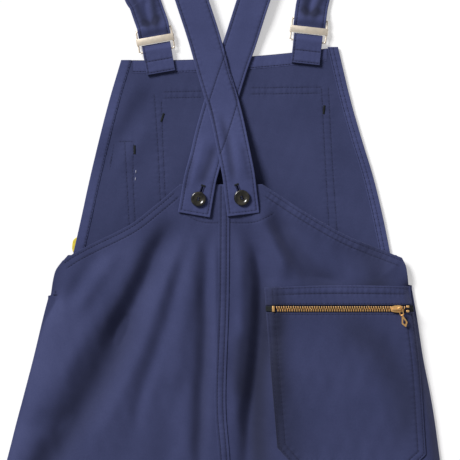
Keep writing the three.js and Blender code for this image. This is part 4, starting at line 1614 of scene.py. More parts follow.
@dataclass
class Bib(Assembly):
    """The bib with its turned hems, and the tacks of its pockets."""

    level: float = 2.7
    hem: float = 12.0
    top_hem: float = 14.5

    def edges(self, rows: int) -> tuple[Array, Array]:
        """The bib's left and right edges with the same number of points.

        Args:
            rows: The number of points.

        Returns:
            The two edges.
        """
        lines = []
        for points in (BIB_LEFT, BIB_RIGHT):
            line = curve(points, 2.0)
            lines.append(at_distance(line, np.linspace(0, arc_length(line)[-1], rows)))
        return lines[0], lines[1]

    def grid(self, rows: Array, left: Array, right: Array, across: Array) -> Array:
        """A grid over a part of the bib.

        Args:
            rows: The share of the bib's height at each row, from 0 at the top.
            left: The left edge of the whole bib, a point for each row.
            right: The right edge.
            across: The share of the width at each column.

        Returns:
            Rows by columns by 2.
        """
        grid = left[:, None] + (right - left)[:, None] * across[None, :, None]
        sag = BIB_SAG * 4 * across * (1 - across)
        grid[:, :, 1] -= sag[None] * np.power(1 - rows, 3)[:, None]
        return grid

    def build(self) -> None:
        """Builds the bib."""
        count = 160
        rows = np.concatenate([[0, 0.0015, 0.004], np.linspace(0.008, 1, count)])
        left, right = (
            at_distance(edge, rows * arc_length(edge)[-1]) for edge in self.edges(400)
        )
        across = np.concatenate([[0, 0.001, 0.003], np.linspace(0.006, 0.994, 190), [0.997, 0.999, 1]])
        self.cloth = Flat("front_bib_cloth", ("front_bib",), level=self.level)
        self.cloth.folds = BIB_FOLDS
        self.cloth.ripple = Ripple(3, 0.3, 12, 80, 70)
        self.cloth.seams = bib_seams()
        self.cloth.rests_on = ("chest_pocket",)
        self.cloth.sheet(self.grid(rows, left, right, across), self.palette.reverse)
        self.cloth.sew(self.palette.thread)
        self.hems(left, right, rows)
        self.tacks()

    def hems(self, left: Array, right: Array, rows: Array) -> None:
        """Builds the turned hems along the sides and the top.

        Args:
            left: The bib's left edge.
            right: The bib's right edge.
            rows: The share of the bib's height at each of their points.
        """
        for word, edge, inward in (("left", left, 1), ("right", right, -1)):
            line = edge[: int(0.96 * len(edge))]
            cloth = Over(f"bib_side_facing_{word}_cloth", (f"bib_side_facing_{word}",), thickness=0.8)
            cloth.under, cloth.rise = self.cloth, 0.85
            inner = line + [inward * self.hem, 0]
            cloth.seams = [Seam(line + [inward * (self.hem - 1.4), 0], sink=0.25, dark=0.6)]
            if word == "right":
                cloth.seams.append(Seam(line + [inward * (self.hem - 6.0), 0], sink=0.15, dark=0.3))
            cloth.ripple = Ripple(11, 0.1, 12, 40, 90)
            pair = (line, inner) if inward > 0 else (inner, line)
            cloth.sheet(ruled_grid(*pair, 14, 0.5), self.palette.bright)
            cloth.sew(self.palette.thread)
        share = np.linspace(0, 1, 12)
        across = np.linspace(0.052, 0.948, 150)
        top = rows * arc_length(left)[-1] <= self.top_hem
        part = self.grid(rows, left, right, across)[top]
        along = part[0][None] - np.array([0, self.top_hem])[None, None] * share[:, None, None]
        cloth = Over("bib_top_facing_cloth", ("bib_top_facing",), thickness=0.75)
        cloth.under, cloth.rise = self.cloth, 0.8
        cloth.seams = [Seam(part[0] - [0, self.top_hem - 1.6], sink=0.25, dark=0.6)]
        cloth.ripple = Ripple(12, 0.1, 12, 50)
        cloth.sheet(along, self.palette.bright)
        cloth.sew(self.palette.thread)

    def tacks(self) -> None:
        """Sews the bartacks at the pockets' corners, and two stray pale stitches."""
        for index, (spot, turn) in enumerate((((-75.5, 156), 72), ((-107.5, 119), 90), ((110, 165), 84))):
            bartack(f"bib_tack_{index + 1}", self.cloth, spot, turn, (10.0, 2.6), self.palette.tack)
        starts = np.array([[-106.0, 95.5], [-106.6, 87.0]])
        first, last = (self.cloth.on_top(spots, 0.15) for spots in (starts, starts - [0.3, 3.4]))
        own(threads(first, last, 0.32, 0.2).build("bib_stray_stitches", self.palette.pale), "thread")


def bartack(
    name: str,
    cloth: Cloth,
    spot: Pair,
    turn: float,
    size: Pair,
    material: Material,
) -> Piece:
    """A dense bar of stitches.

    Args:
        name: The piece's name.
        cloth: What it is sewn through.
        spot: Its middle, on the cloth's map.
        turn: Its direction, in degrees from the map's first axis.
        size: Its length and its width.
        material: The thread's material.

    Returns:
        The new piece.
    """
    a = math.radians(turn)
    along = np.array([math.cos(a), math.sin(a)])
    across = np.array([-along[1], along[0]])
    steps = np.arange(-size[0] / 2, size[0] / 2, 0.42)[:, None]
    middle = np.asarray(spot, dtype=float) + steps * along
    first = middle - 0.5 * size[1] * across
    last = middle + 0.5 * size[1] * across + 0.2 * along
    solid = threads(cloth.on_top(first, 0.25), cloth.on_top(last, 0.25), 0.26, 0.28)
    return own(solid.build(name, material), "thread")


# ---- straps


@dataclass
class Band(Cloth):
    """A narrow band of doubled cloth that follows a path in space, quilted on both faces.

    Its map runs along the path, and across it to the left.
    """

    path: Array | None = None
    across: Array | None = None

    def base(self, spots: Array) -> Array:
        """Half the thickness."""
        return np.full(len(spots), self.thickness / 2)

    def inner(self, spots: Array, height: Array, drop: Array) -> Array:
        """The mirror of the outer face."""
        return 2 * self.drape(spots)[0] - height + drop

    def axes(self, spots: Array) -> tuple[Array, Array, Array]:
        """The middle line, the direction across and the outward direction at the given points.

        Args:
            spots: Points of the map, one per row.

        Returns:
            The three, a row for each point.
        """
        arc = arc_length(self.path)
        normal = np.cross(np.gradient(self.path, axis=0), self.across)
        normal /= np.linalg.norm(normal, axis=1, keepdims=True)
        s = spots[:, 0]
        picked = [
            np.stack([np.interp(s, arc, values[:, k]) for k in range(3)], axis=1)
            for values in (self.path, self.across, normal)
        ]
        return picked[0], picked[1], picked[2]

    def place(self, spots: Array, height: Array) -> Array:
        """The points in space for points of the map at the given heights."""
        middle, across, normal = self.axes(spots)
        return middle + across * spots[:, 1:] + normal * height[:, None]

    def on_top(self, spots: Array, rise: float) -> Array:
        """The points in space just above the face that looks up.

        Args:
            spots: Points of the map, one per row.
            rise: The distance from the face.

        Returns:
            The points in space.
        """
        outer = self.relief(spots)[0]
        inner = self.inner(spots, outer, np.zeros(len(spots)))
        up = self.axes(spots)[2][:, 2] >= 0
        return self.place(spots, np.where(up, outer + rise, inner - rise))

    def on_map(self, spots: Points | Array) -> Array:
        """Where points seen from above fall on the band's map.

        Args:
            spots: The points, one per row.

        Returns:
            The points of the map.
        """
        found = np.asarray(spots, dtype=float)
        gap, along, side = near(self.path[:, :2], found, 80.0)
        return np.column_stack([along, gap * side])


@dataclass(frozen=True)
class StrapPlan:
    """Where one strap runs, from its button over the shoulder to its buckle."""

    side: Side  # the side of its buckle
    back: list[Triple]  # its middle on the back, from the buttoned end
    front: list[Triple]  # its middle under the shoulder
    buckle: Triple  # the buckle's middle, and its turn in degrees
    button: Pair  # the button's middle
    radius: float  # the button's radius
    hole: float  # the buttonhole's direction, in degrees from +Y
    # how far the end lies to the side at its four points above the buckle
    lean: tuple[float, float, float, float]
    folds: list[Fold]  # its folds, on its own map
    rows: list[Points]  # stitches across it, as points seen from above

    def on_buckle(self, v: float, z: float, u: float = 0.0) -> Triple:
        """A point of the buckle's own frame: v along the strap, u across it and z up.

        Args:
            v: The place along the strap.
            z: The height.
            u: The place across the strap.

        Returns:
            The point in space.
        """
        x, y, turn = self.buckle
        a = math.radians(turn)
        return (x + u * math.cos(a) - v * math.sin(a), y + u * math.sin(a) + v * math.cos(a), z)


LEFT_STRAP = StrapPlan(
    side=Side.LEFT,
    back=[
        (17.3, 44.2, 17.6), (14.3, 69, 17.6), (12, 88, 17.6), (9, 104, 16.6), (5, 124, 12.8),
        (0, 148, 9.8), (-6, 172, 8.0), (-16, 205, 7.7), (-28, 248, 8.4), (-43, 294, 9.4),
        (-66, 366, 7.6), (-96, 462, 4.1),
    ],
    front=[(-96, 462, 1.3), (-103, 408, 1.3), (-102, 351, 1.3)],
    buckle=(-83.8, 245.1, 10.0),
    button=(15.5, 63.5),
    radius=9.0,
    hole=22.0,
    lean=(-8.5, -4.9, -2.2, -0.8),
    # The last figure of a fold is the shade painted along it.
    folds=[
        Fold([(30, 7), (60, 6), (90, 5), (124, 6)], -1.2, 4, 4, 0.5),
        Fold([(36, -3), (64, -4), (100, -5)], 1.0, 5),
        Fold([(30, -13), (56, -12), (84, -12)], -0.7, 3, 3, 0.35),
        Fold([(-6, -2), (12, -3), (26, -6)], -0.3, 6),
        Fold([(150, -5), (185, 0), (225, 4)], 0.35, 7),
    ],
    rows=[[(-9, 114), (10, 174), (-3.5, 230)], [(-9, 114), (-22, 176), (-3.5, 230)]],
)

RIGHT_STRAP = StrapPlan(
    side=Side.RIGHT,
    back=[
        (-39.1, 44, 17.6), (-35, 68, 17.6), (-31.5, 87, 17.6), (-28, 100, 15.2), (-24.5, 114, 10.8),
        (-20, 134, 7.2), (-14, 156, 5.6), (-8, 176, 5.4), (4, 215, 5.4), (14.5, 245, 6.0),
        (30, 293, 8.8), (54, 362, 7.6), (90, 466, 4.1),
    ],
    front=[(90, 466, 1.3), (105, 408, 1.3), (104, 351, 1.3)],
    buckle=(92.6, 255.8, -6.3),
    button=(-34.0, 62.0),
    radius=8.6,
    hole=-20.0,
    lean=(5.0, 2.6, 0.6, 0.2),
    # The last figure of a fold is the shade painted along it.
    folds=[
        Fold([(30, -2), (56, -5), (90, -7)], -1.1, 5, 5, 0.6),
        Fold([(26, 8), (56, 7), (95, 6)], 0.9, 5),
        Fold([(20, 14), (44, 13), (70, 14)], -0.6, 3, 3, 0.3),
        Fold([(0, 4), (14, 2), (26, 4)], -0.3, 6),
        Fold([(190, 6), (230, 7), (280, 9)], 0.3, 7),
    ],
    rows=[],
)


# The creases above a buckle, measured back from the strap's end, with shade painted along the valleys; the
# last has no height and is painted shade alone.
BUCKLE_FOLDS = [
    Fold([(-50, -2), (-30, 2), (-12, 0)], 1.8, 4),
    Fold([(-62, -14), (-36, -8), (-12, -3), (-4, 0)], -1.2, 4, 4, 0.8),
    Fold([(-66, 8), (-38, 10), (-14, 6), (-4, 2)], -1.0, 4, 4, 0.7),
    Fold([(-24, -18), (-18, 0), (-24, 18)], 0, 5, 5, 0.7),
]


@dataclass
class Strap(Assembly):
    """One strap with its buttonhole, and its end in the buckle."""

    plan: StrapPlan
    inset: float = 3.4
    shoulder: float = 1.4

    def route(self) -> tuple[Array, Array]:
        """The strap's middle line over the shoulder, and the direction across it."""
        plan = self.plan
        up = curve(plan.back, 3.0)
        upper = zip(((60, 1.9), (46, 2.5), (30, 2.6), (22, 3.7)), plan.lean)
        lower = [(16.5, 5.9), (12.5, 6.9), (9.4, 6.0), (5.2, 3.9), (2.6, 3.6)]
        climb = [plan.on_buckle(v, z, u) for (v, z), u in upper] + [plan.on_buckle(v, z) for v, z in lower]
        down = curve([*plan.front, *climb], 2.0)
        runs = []
        for run, way in ((up, 1), (down, -1)):
            along = np.gradient(run[:, :2], axis=0) * way
            along /= np.linalg.norm(along, axis=1, keepdims=True)
            runs.append(np.column_stack([-along[:, 1], along[:, 0], np.zeros(len(run))]))
        turn = np.linspace(0, math.pi, 9)[1:-1, None]
        share = turn / math.pi
        ahead = up[-1] - up[-2]
        ahead /= np.linalg.norm(ahead)
        middle = (up[-1] + down[0]) / 2
        bend = middle + self.shoulder * (ahead * np.sin(turn) + np.array([0, 0, 1]) * np.cos(turn))
        across = runs[0][-1] * (1 - share) + runs[1][0] * share
        across /= np.linalg.norm(across, axis=1, keepdims=True)
        return np.vstack([up, bend, down]), np.vstack([runs[0], across, runs[1]])

    def grid(self, length: float) -> Array:
        """The grid of the strap's map, finest near its two ends.

        Args:
            length: The length of the strap.

        Returns:
            Rows by columns by 2.
        """
        back, buckle, half = 270.0, length - 90, STRAP_WIDTH / 2
        runs = [np.arange(0, back, 1.3), np.arange(back, buckle, 4.0), np.arange(buckle, length - 0.5, 1.2)]
        s = np.unique(np.concatenate([[0.0, 0.2, 0.5], *runs, [length - 0.2, length]]))
        return ruled_grid(raised(s, -half), raised(s, half), 34, 0.7)

    def build(self) -> None:
        """Builds the strap and its buttonhole; its other end climbs into the buckle."""
        plan = self.plan
        word = plan.side.word
        path, across = self.route()
        length = arc_length(path)[-1]
        nodes = (f"strap_{word}", f"strap_end_{word}")
        cloth = Band(f"strap_{word}_cloth", nodes, thickness=STRAP_THICKNESS - 0.2, path=path, across=across)
        cloth.folds = plan.folds + [fold.shifted(length) for fold in BUCKLE_FOLDS]
        cloth.ripple = Ripple(21 + plan.side.value, 0.2, 16, 70)
        half = STRAP_WIDTH / 2 - self.inset
        edges = [curve([(3.4, v), (length - 1.0, v)], 4.0) for v in (-half, half)]
        cloth.seams = [Seam(edge, sink=0.4) for edge in edges]
        cloth.seams.append(Seam(curve([(3.4, -half), (3.4, half)], 4.0), sink=0.3, dark=0.4))
        cloth.seams += [Seam(corners(*map(tuple, cloth.on_map(row)))) for row in plan.rows]
        cloth.held, cloth.rests_on = Held.FOLDED, ("front_bib",)
        piece = cloth.sheet(self.grid(length), self.palette.bright, 0.55)
        self.buttonhole(piece, cloth)
        cloth.sew(self.palette.thread)

    def buttonhole(self, piece: Piece, cloth: Band) -> None:
        """Cuts and sews the buttonhole.

        Args:
            piece: The strap.
            cloth: The strap's map.
        """
        plan = self.plan
        a = math.radians(plan.hole)
        along = np.array([-math.sin(a), math.cos(a)])
        across = np.array([math.cos(a), math.sin(a)])
        turn = np.linspace(-1.25 * math.pi, 0.25 * math.pi, 15)
        eye = [(2.2 * math.cos(t), 2.2 * math.sin(t)) for t in turn]
        ring = np.array([*eye, (0.75, 3.2), (0.75, 14.6), (0, 15.4), (-0.75, 14.6), (-0.75, 3.2)])
        outline = np.asarray(plan.button) + ring[:, :1] * across + ring[:, 1:] * along
        tool = prism(outline, 12.0, 24.0).build("buttonhole_cutter", self.palette.thread, False)
        carve(piece, [tool])
        loop = at_distance(curve(np.vstack([outline, outline[:1]]), 0.4), np.arange(0, 38.0, 0.42))
        wide = offset(loop, -1.5)
        inner, outer = (cloth.on_top(cloth.on_map(line), 0.1) for line in (loop, wide))
        solid = threads(inner, outer, 0.26, 0.2)
        own(solid.build(f"buttonhole_{plan.side.word}_stitches", self.palette.thread), "thread")
        end = np.asarray(plan.button) + 16.2 * along
        spot, ahead = cloth.on_map([end, end + across])
        heading = ahead - spot
        turned = math.degrees(math.atan2(heading[1], heading[0]))
        name = f"buttonhole_{plan.side.word}_tack"
        bartack(name, cloth, tuple(spot), turned, (5.0, 2.2), self.palette.tack)


# ---- buckles and buttons


@dataclass
class Buckle(Assembly):
    """One buckle: a wire frame, a gripping plate and the tab that holds it."""

    plan: StrapPlan
    width: float = 40.5
    height: float = 25.0
    wire: float = 0.95
    level: float = 4.4
    tab_width: float = 33.0

    def build(self) -> None:
        """Builds the buckle and its tab."""
        self.frame()
        self.plate()
        self.tab()

    def frame(self) -> None:
        """Builds the wire frame, with rounded corners."""
        plan = self.plan
        w, h, r = self.width / 2, self.height / 2, 2.2
        loop = []
        for su, sv, first in ((1, 1, 0), (-1, 1, 90), (-1, -1, 180), (1, -1, 270)):
            for step in range(0, 91, 15):
                a = math.radians(first + step)
                at = (su * (w - r) + r * math.cos(a), sv * (h - r) + r * math.sin(a))
                loop.append(plan.on_buckle(at[1], self.level, at[0]))
        closed = curve([*loop, loop[0]], 2.0)[:-1]
        piece = tube(closed, self.wire, 16, True).build(f"buckle_wire_{plan.side.word}", self.palette.nickel)
        own(piece, "nickel", f"buckle_frame_{plan.side.word}")

    def plate(self) -> None:
        """Builds the gripping plate, which curls round the frame's rails."""
        plan = self.plan
        w, t = self.width / 2, 0.55
        reach = w + self.wire + 0.2 + t
        low = self.level - self.wire - 0.2 - t
        high = self.level + self.wire + 0.45
        outer = [(-reach + 2.6, low), (-reach + 0.5, low), (-reach, low + 0.5), (-reach, high - 0.2)]
        outer += [(-reach + 1.0, high + 0.7), (0, high + 1.05)]
        line = np.array([*outer, *((-u, z) for u, z in outer[-2::-1])])
        inner = offset(line, -t)
        section = np.vstack([line, inner[::-1]])
        half = 3.9
        a = math.radians(plan.buckle[2])
        rings = []
        for v in (-half, half):
            x, y, z = plan.on_buckle(v, 0.0)
            flat = np.column_stack([section[:, 0] * math.cos(a), section[:, 0] * math.sin(a), section[:, 1]])
            rings.append(flat + [x, y, z])
        count, half_count = len(section), len(line)
        ends = np.array([[i, i + 1, count - 2 - i, count - 1 - i] for i in range(half_count - 1)])
        solid = Solid()
        solid.add(np.vstack(rings), grid_faces(2, count, True), ends, ends[:, ::-1] + count)
        piece = rounded(solid.build(f"grip_plate_{plan.side.word}", self.palette.nickel), 0.22, 3)
        own(piece, "nickel", f"slide_plate_{plan.side.word}", body=Body(f"plate_{plan.side.word}"))

    def tab(self) -> None:
        """Builds the tab that is sewn to the bib and loops round the frame's lower bar."""
        plan = self.plan
        a = math.radians(plan.buckle[2])
        under = [(-38.5, 4.7), (-22, 4.7), (-19, 4.4), (-16.5, 3.0), (-13, 2.5), (-8, 2.7), (-5.4, 3.0)]
        over = [(-4.6, 3.9), (-5.4, 4.7), (-7.8, 5.3), (-11, 6.5), (-14, 6.6), (-20, 6.2), (-24, 6.1)]
        path = curve([plan.on_buckle(v, z) for v, z in [*under, *over, (-38.5, 6.1)]], 1.0)
        across = np.tile([-math.cos(a), -math.sin(a), 0.0], (len(path), 1))
        node = "buckle_tab_" + plan.side.word
        cloth = Band(node + "_cloth", (node,), thickness=1.0, path=path, across=across)
        length = arc_length(path)[-1]
        half = self.tab_width / 2
        rows = [length - 15.0, length - 2.0]
        cloth.seams = [Seam(curve([(s, -half + 1), (s, half - 1)], 3.0)) for s in rows]
        edge = curve([(length - 34, half - 2.2), (length - 1, half - 2.2)], 3.0)
        cloth.seams.append(Seam(edge, sink=0.3))
        cloth.ripple = Ripple(41 + plan.side.value, 0.12, 10, 40)
        s = np.concatenate([[0, 0.2], np.linspace(0.8, length - 0.8, 80), [length - 0.2, length]])
        cloth.sheet(ruled_grid(raised(s, -half), raised(s, half), 30, 0.5), self.palette.bright, 0.35)
        cloth.sew(self.palette.thread)


@dataclass
class Button(Assembly):
    """A four-hole button with thread through its holes."""

    name: str  # the piece's name
    node: str  # the CAD node that it replaces
    centre: Triple  # the middle of its underside
    radius: float  # its radius
    height: float  # how thick it is
    turn: float = 20.0  # the turn of its holes, in degrees

    def build(self) -> None:
        """Builds the button and its thread."""
        r, h = self.radius, self.height
        profile = [(0, 0), (0.55 * r, 0.02), (0.82 * r, 0.12 * h), (0.96 * r, 0.34 * h), (r, 0.55 * h)]
        profile += [(0.985 * r, 0.78 * h), (0.93 * r, 0.94 * h), (0.84 * r, h), (0.74 * r, 0.97 * h)]
        profile += [(0.64 * r, 0.86 * h), (0.56 * r, 0.74 * h), (0.47 * r, 0.67 * h)]
        profile += [(0.3 * r, 0.62 * h), (0, 0.6 * h)]
        piece = revolve(profile, np.array(self.centre), 72).build(self.name, self.palette.horn)
        gap = 0.185 * r
        spots = []
        for k in range(4):
            a = math.radians(self.turn + 90 * k)
            spots.append(np.array([self.centre[0] + gap * math.cos(a), self.centre[1] + gap * math.sin(a)]))
        tools = []
        for spot in spots:
            ring = np.linspace(0, 2 * math.pi, 20, endpoint=False)
            outline = spot + 0.1 * r * np.column_stack([np.cos(ring), np.sin(ring)])
            low, high = self.centre[2] - 1, self.centre[2] + h + 1
            tools.append(prism(outline, low, high).build("button_drill", self.palette.horn, False))
        carve(piece, tools)
        own(rounded(piece, 0.012 * r, 2), "horn", self.node)
        top = self.centre[2] + 0.6 * h
        starts, ends = [], []
        for shift in (-0.3, 0.0, 0.3):
            for first, last in ((spots[0], spots[1]), (spots[2], spots[3])):
                nudge = shift * 0.1 * r * (first - last) / np.linalg.norm(first - last)
                nudge = np.array([-nudge[1], nudge[0]])
                starts.append([*(first + nudge), top])
                ends.append([*(last + nudge), top])
        solid = threads(np.array(starts), np.array(ends), 0.03 * r, 0.32)
        own(solid.build(self.name + "_thread", self.palette.thread), "thread")


@dataclass
class Buttons(Assembly):
    """The back buttons with their shanks, and the buttons of the fly and the side openings."""

    shank: float = 1.25

    def back(self, word: str, plan: StrapPlan, turn: float) -> None:
        """Builds one back button on its wrapped shank.

        Args:
            word: The side that it is on.
            plan: The strap that it holds.
            turn: The turn of its holes, in degrees.
        """
        x, y = plan.button
        core = [(x, y, z) for z in (15.3, 16.4, 17.8, 18.7)]
        radii = self.shank * np.array([1.2, 1.0, 1.0, 1.2])
        t = np.linspace(0, 6.5 * math.pi, 90)
        reach = self.shank + 0.1
        wrap = np.column_stack([x + reach * np.cos(t), y + reach * np.sin(t), 15.7 + 0.42 * t / math.pi])
        solid = tube(core, radii, 14).merge(tube(wrap, 0.2, 6))
        own(solid.build(f"shank_{word}", self.palette.thread), "thread", f"button_shank_{word}")
        names = (f"horn_button_{word}", f"back_button_{word}")
        Button(self.palette, *names, (x, y, 18.9), plan.radius, 3.2, turn).build()

    def small(self, node: str, centre: Triple) -> None:
        """Builds a button of the fly or of a side opening."""
        Button(self.palette, "horn_" + node, node, centre, 7.0, 2.6).build()

    def build(self) -> None:
        """Builds the buttons."""
        self.back("left", RIGHT_STRAP, 35.0)
        self.back("right", LEFT_STRAP, 62.0)
        for index, y in enumerate((-48, -92, -136)):
            self.small(f"fly_button_{index + 1}", (4.0, y, 3.0))
        for word, x in (("left", -183.0), ("right", 190.0)):
            for index, y in enumerate((-18, -39)):
                self.small(f"side_button_{word}_{index + 1}", (x, y, 0.0))


# ---- the pocket and its zip

ZIP_Y = -63.4
ZIP_START, ZIP_END = 53.0, 203.0
POCKET_LEFT = [(41.5, -39), (44.5, -82), (49, -137), (56, -222)]
POCKET_RIGHT = [(209, -38), (214, -82), (220, -137), (226, -230)]
POCKET_FOOT = [(78, -247), (203, -252)]


@dataclass
class PocketCloth(Over):
    """The pocket's cloth, which stands off the back beside the zip."""

    def base(self, spots: Array) -> Array:
        """The height above the back, with a lift along the zip."""
        lift = 1.0 * bump(np.abs(spots[:, 1] - ZIP_Y), 13.0) * ramp(-spots[:, 0], -216, -208)
        return super().base(spots) + lift


@dataclass
class Pocket(Assembly):
    """The zipped back pocket: a band above the zip and a bag below it."""

    under: Cloth
    mouth: float = 4.2

    def sides(self) -> tuple[Array, Array]:
        """The left and right edges, from the top to the foot's corners."""
        left = np.vstack([curve(POCKET_LEFT, 2.0), [POCKET_FOOT[0]]])
        right = np.vstack([curve(POCKET_RIGHT, 2.0), [POCKET_FOOT[1]]])
        return left, right

    def cloth(self, name: str, seams: list[Seam]) -> PocketCloth:
        """The cloth of one part of the pocket.

        Args:
            name: The CAD node.
            seams: Its rows of stitches.

        Returns:
            The cloth, not built yet.
        """
        made = PocketCloth(name + "_cloth", (name,), under=self.under, seams=seams)
        made.rests_on = ("back_leg_right",)
        made.ripple = Ripple(len(name), 0.22, 30, 120)
        made.folds = POCKET_FOLDS
        return made

    def build(self) -> None:
        """Builds both parts."""
        left, right = self.sides()
        high, low = ZIP_Y + self.mouth, ZIP_Y - self.mouth
        rows = np.linspace(0, 1, 16)[:, None]
        grid = []
        for x_share in np.concatenate([[0, 0.002, 0.005], np.linspace(0.01, 0.99, 120), [0.995, 0.998, 1]]):
            first = left[0] + (right[0] - left[0]) * x_share + [0, 2.0 * math.sin(math.pi * x_share)]
            x = x_at(left, np.array([high]))[0] * (1 - x_share) + x_at(right, np.array([high]))[0] * x_share
            grid.append(first + (np.array([x, high]) - first) * rows)
        top = np.stack(grid, axis=1)
        edge, mouth = top[0], top[-1]
        seams = [
            Seam(edge[6:-6] - [0, 2.0], dark=0.5),
            Seam(edge[6:-6] - [0, 9.0], sink=0.45, pucker=0.2, dark=0.7),
            Seam(mouth[6:-6] + [0, 2.2], sink=0.2, dark=0.3),
            Seam(np.array([(44, -41), (45, -58)]), sink=0.3, dark=0.5),
            Seam(np.array([(50.5, -41), (51, -58)]), sink=0.3, dark=0.5),
        ]
        band = self.cloth("back_pocket_band", seams)
        band.sheet(top, self.palette.moleskin)
        band.sew(self.palette.thread)

        share = np.concatenate([[0, 0.0015, 0.004], np.linspace(0.008, 0.992, 130), [0.996, 0.9985, 1]])
        lines = []
        for line in (left, right):
            arc = arc_length(line)
            begin = np.interp(-low, -line[:, 1], arc)
            lines.append(at_distance(line, begin + (arc[-1] - begin) * share))
        runs = [np.vstack([line[:-1], POCKET_FOOT[k]]) for k, line in enumerate(lines)]
        outline = np.vstack([runs[0][::2], curve(POCKET_FOOT, 4.0)[1:-1], runs[1][::-2]])
        bag = self.cloth(
            "back_pocket_bag",
            [
                Seam(offset(outline, 2.4)[1:-1], dark=0.6),
                Seam(offset(outline, 9.0)[2:-2], sink=0.45, pucker=0.2, dark=0.6),
                Seam(lines[0][:1] + (lines[1][:1] - lines[0][:1]) * rows - [0, 1.8], sink=0.2, dark=0.3),
            ],
        )
        bag.sheet(ruled_grid(lines[0], lines[1], 120, 0.5), self.palette.moleskin)
        bag.sew(self.palette.thread)
        places = (((47.0, ZIP_Y), 90, (5.5, 9.0)), ((209.5, ZIP_Y), 90, (6.5, 7.0)))
        for index, (spot, turn, size) in enumerate(places):
            bartack(f"pocket_tack_{index + 1}", bag, spot, turn, size, self.palette.tack)


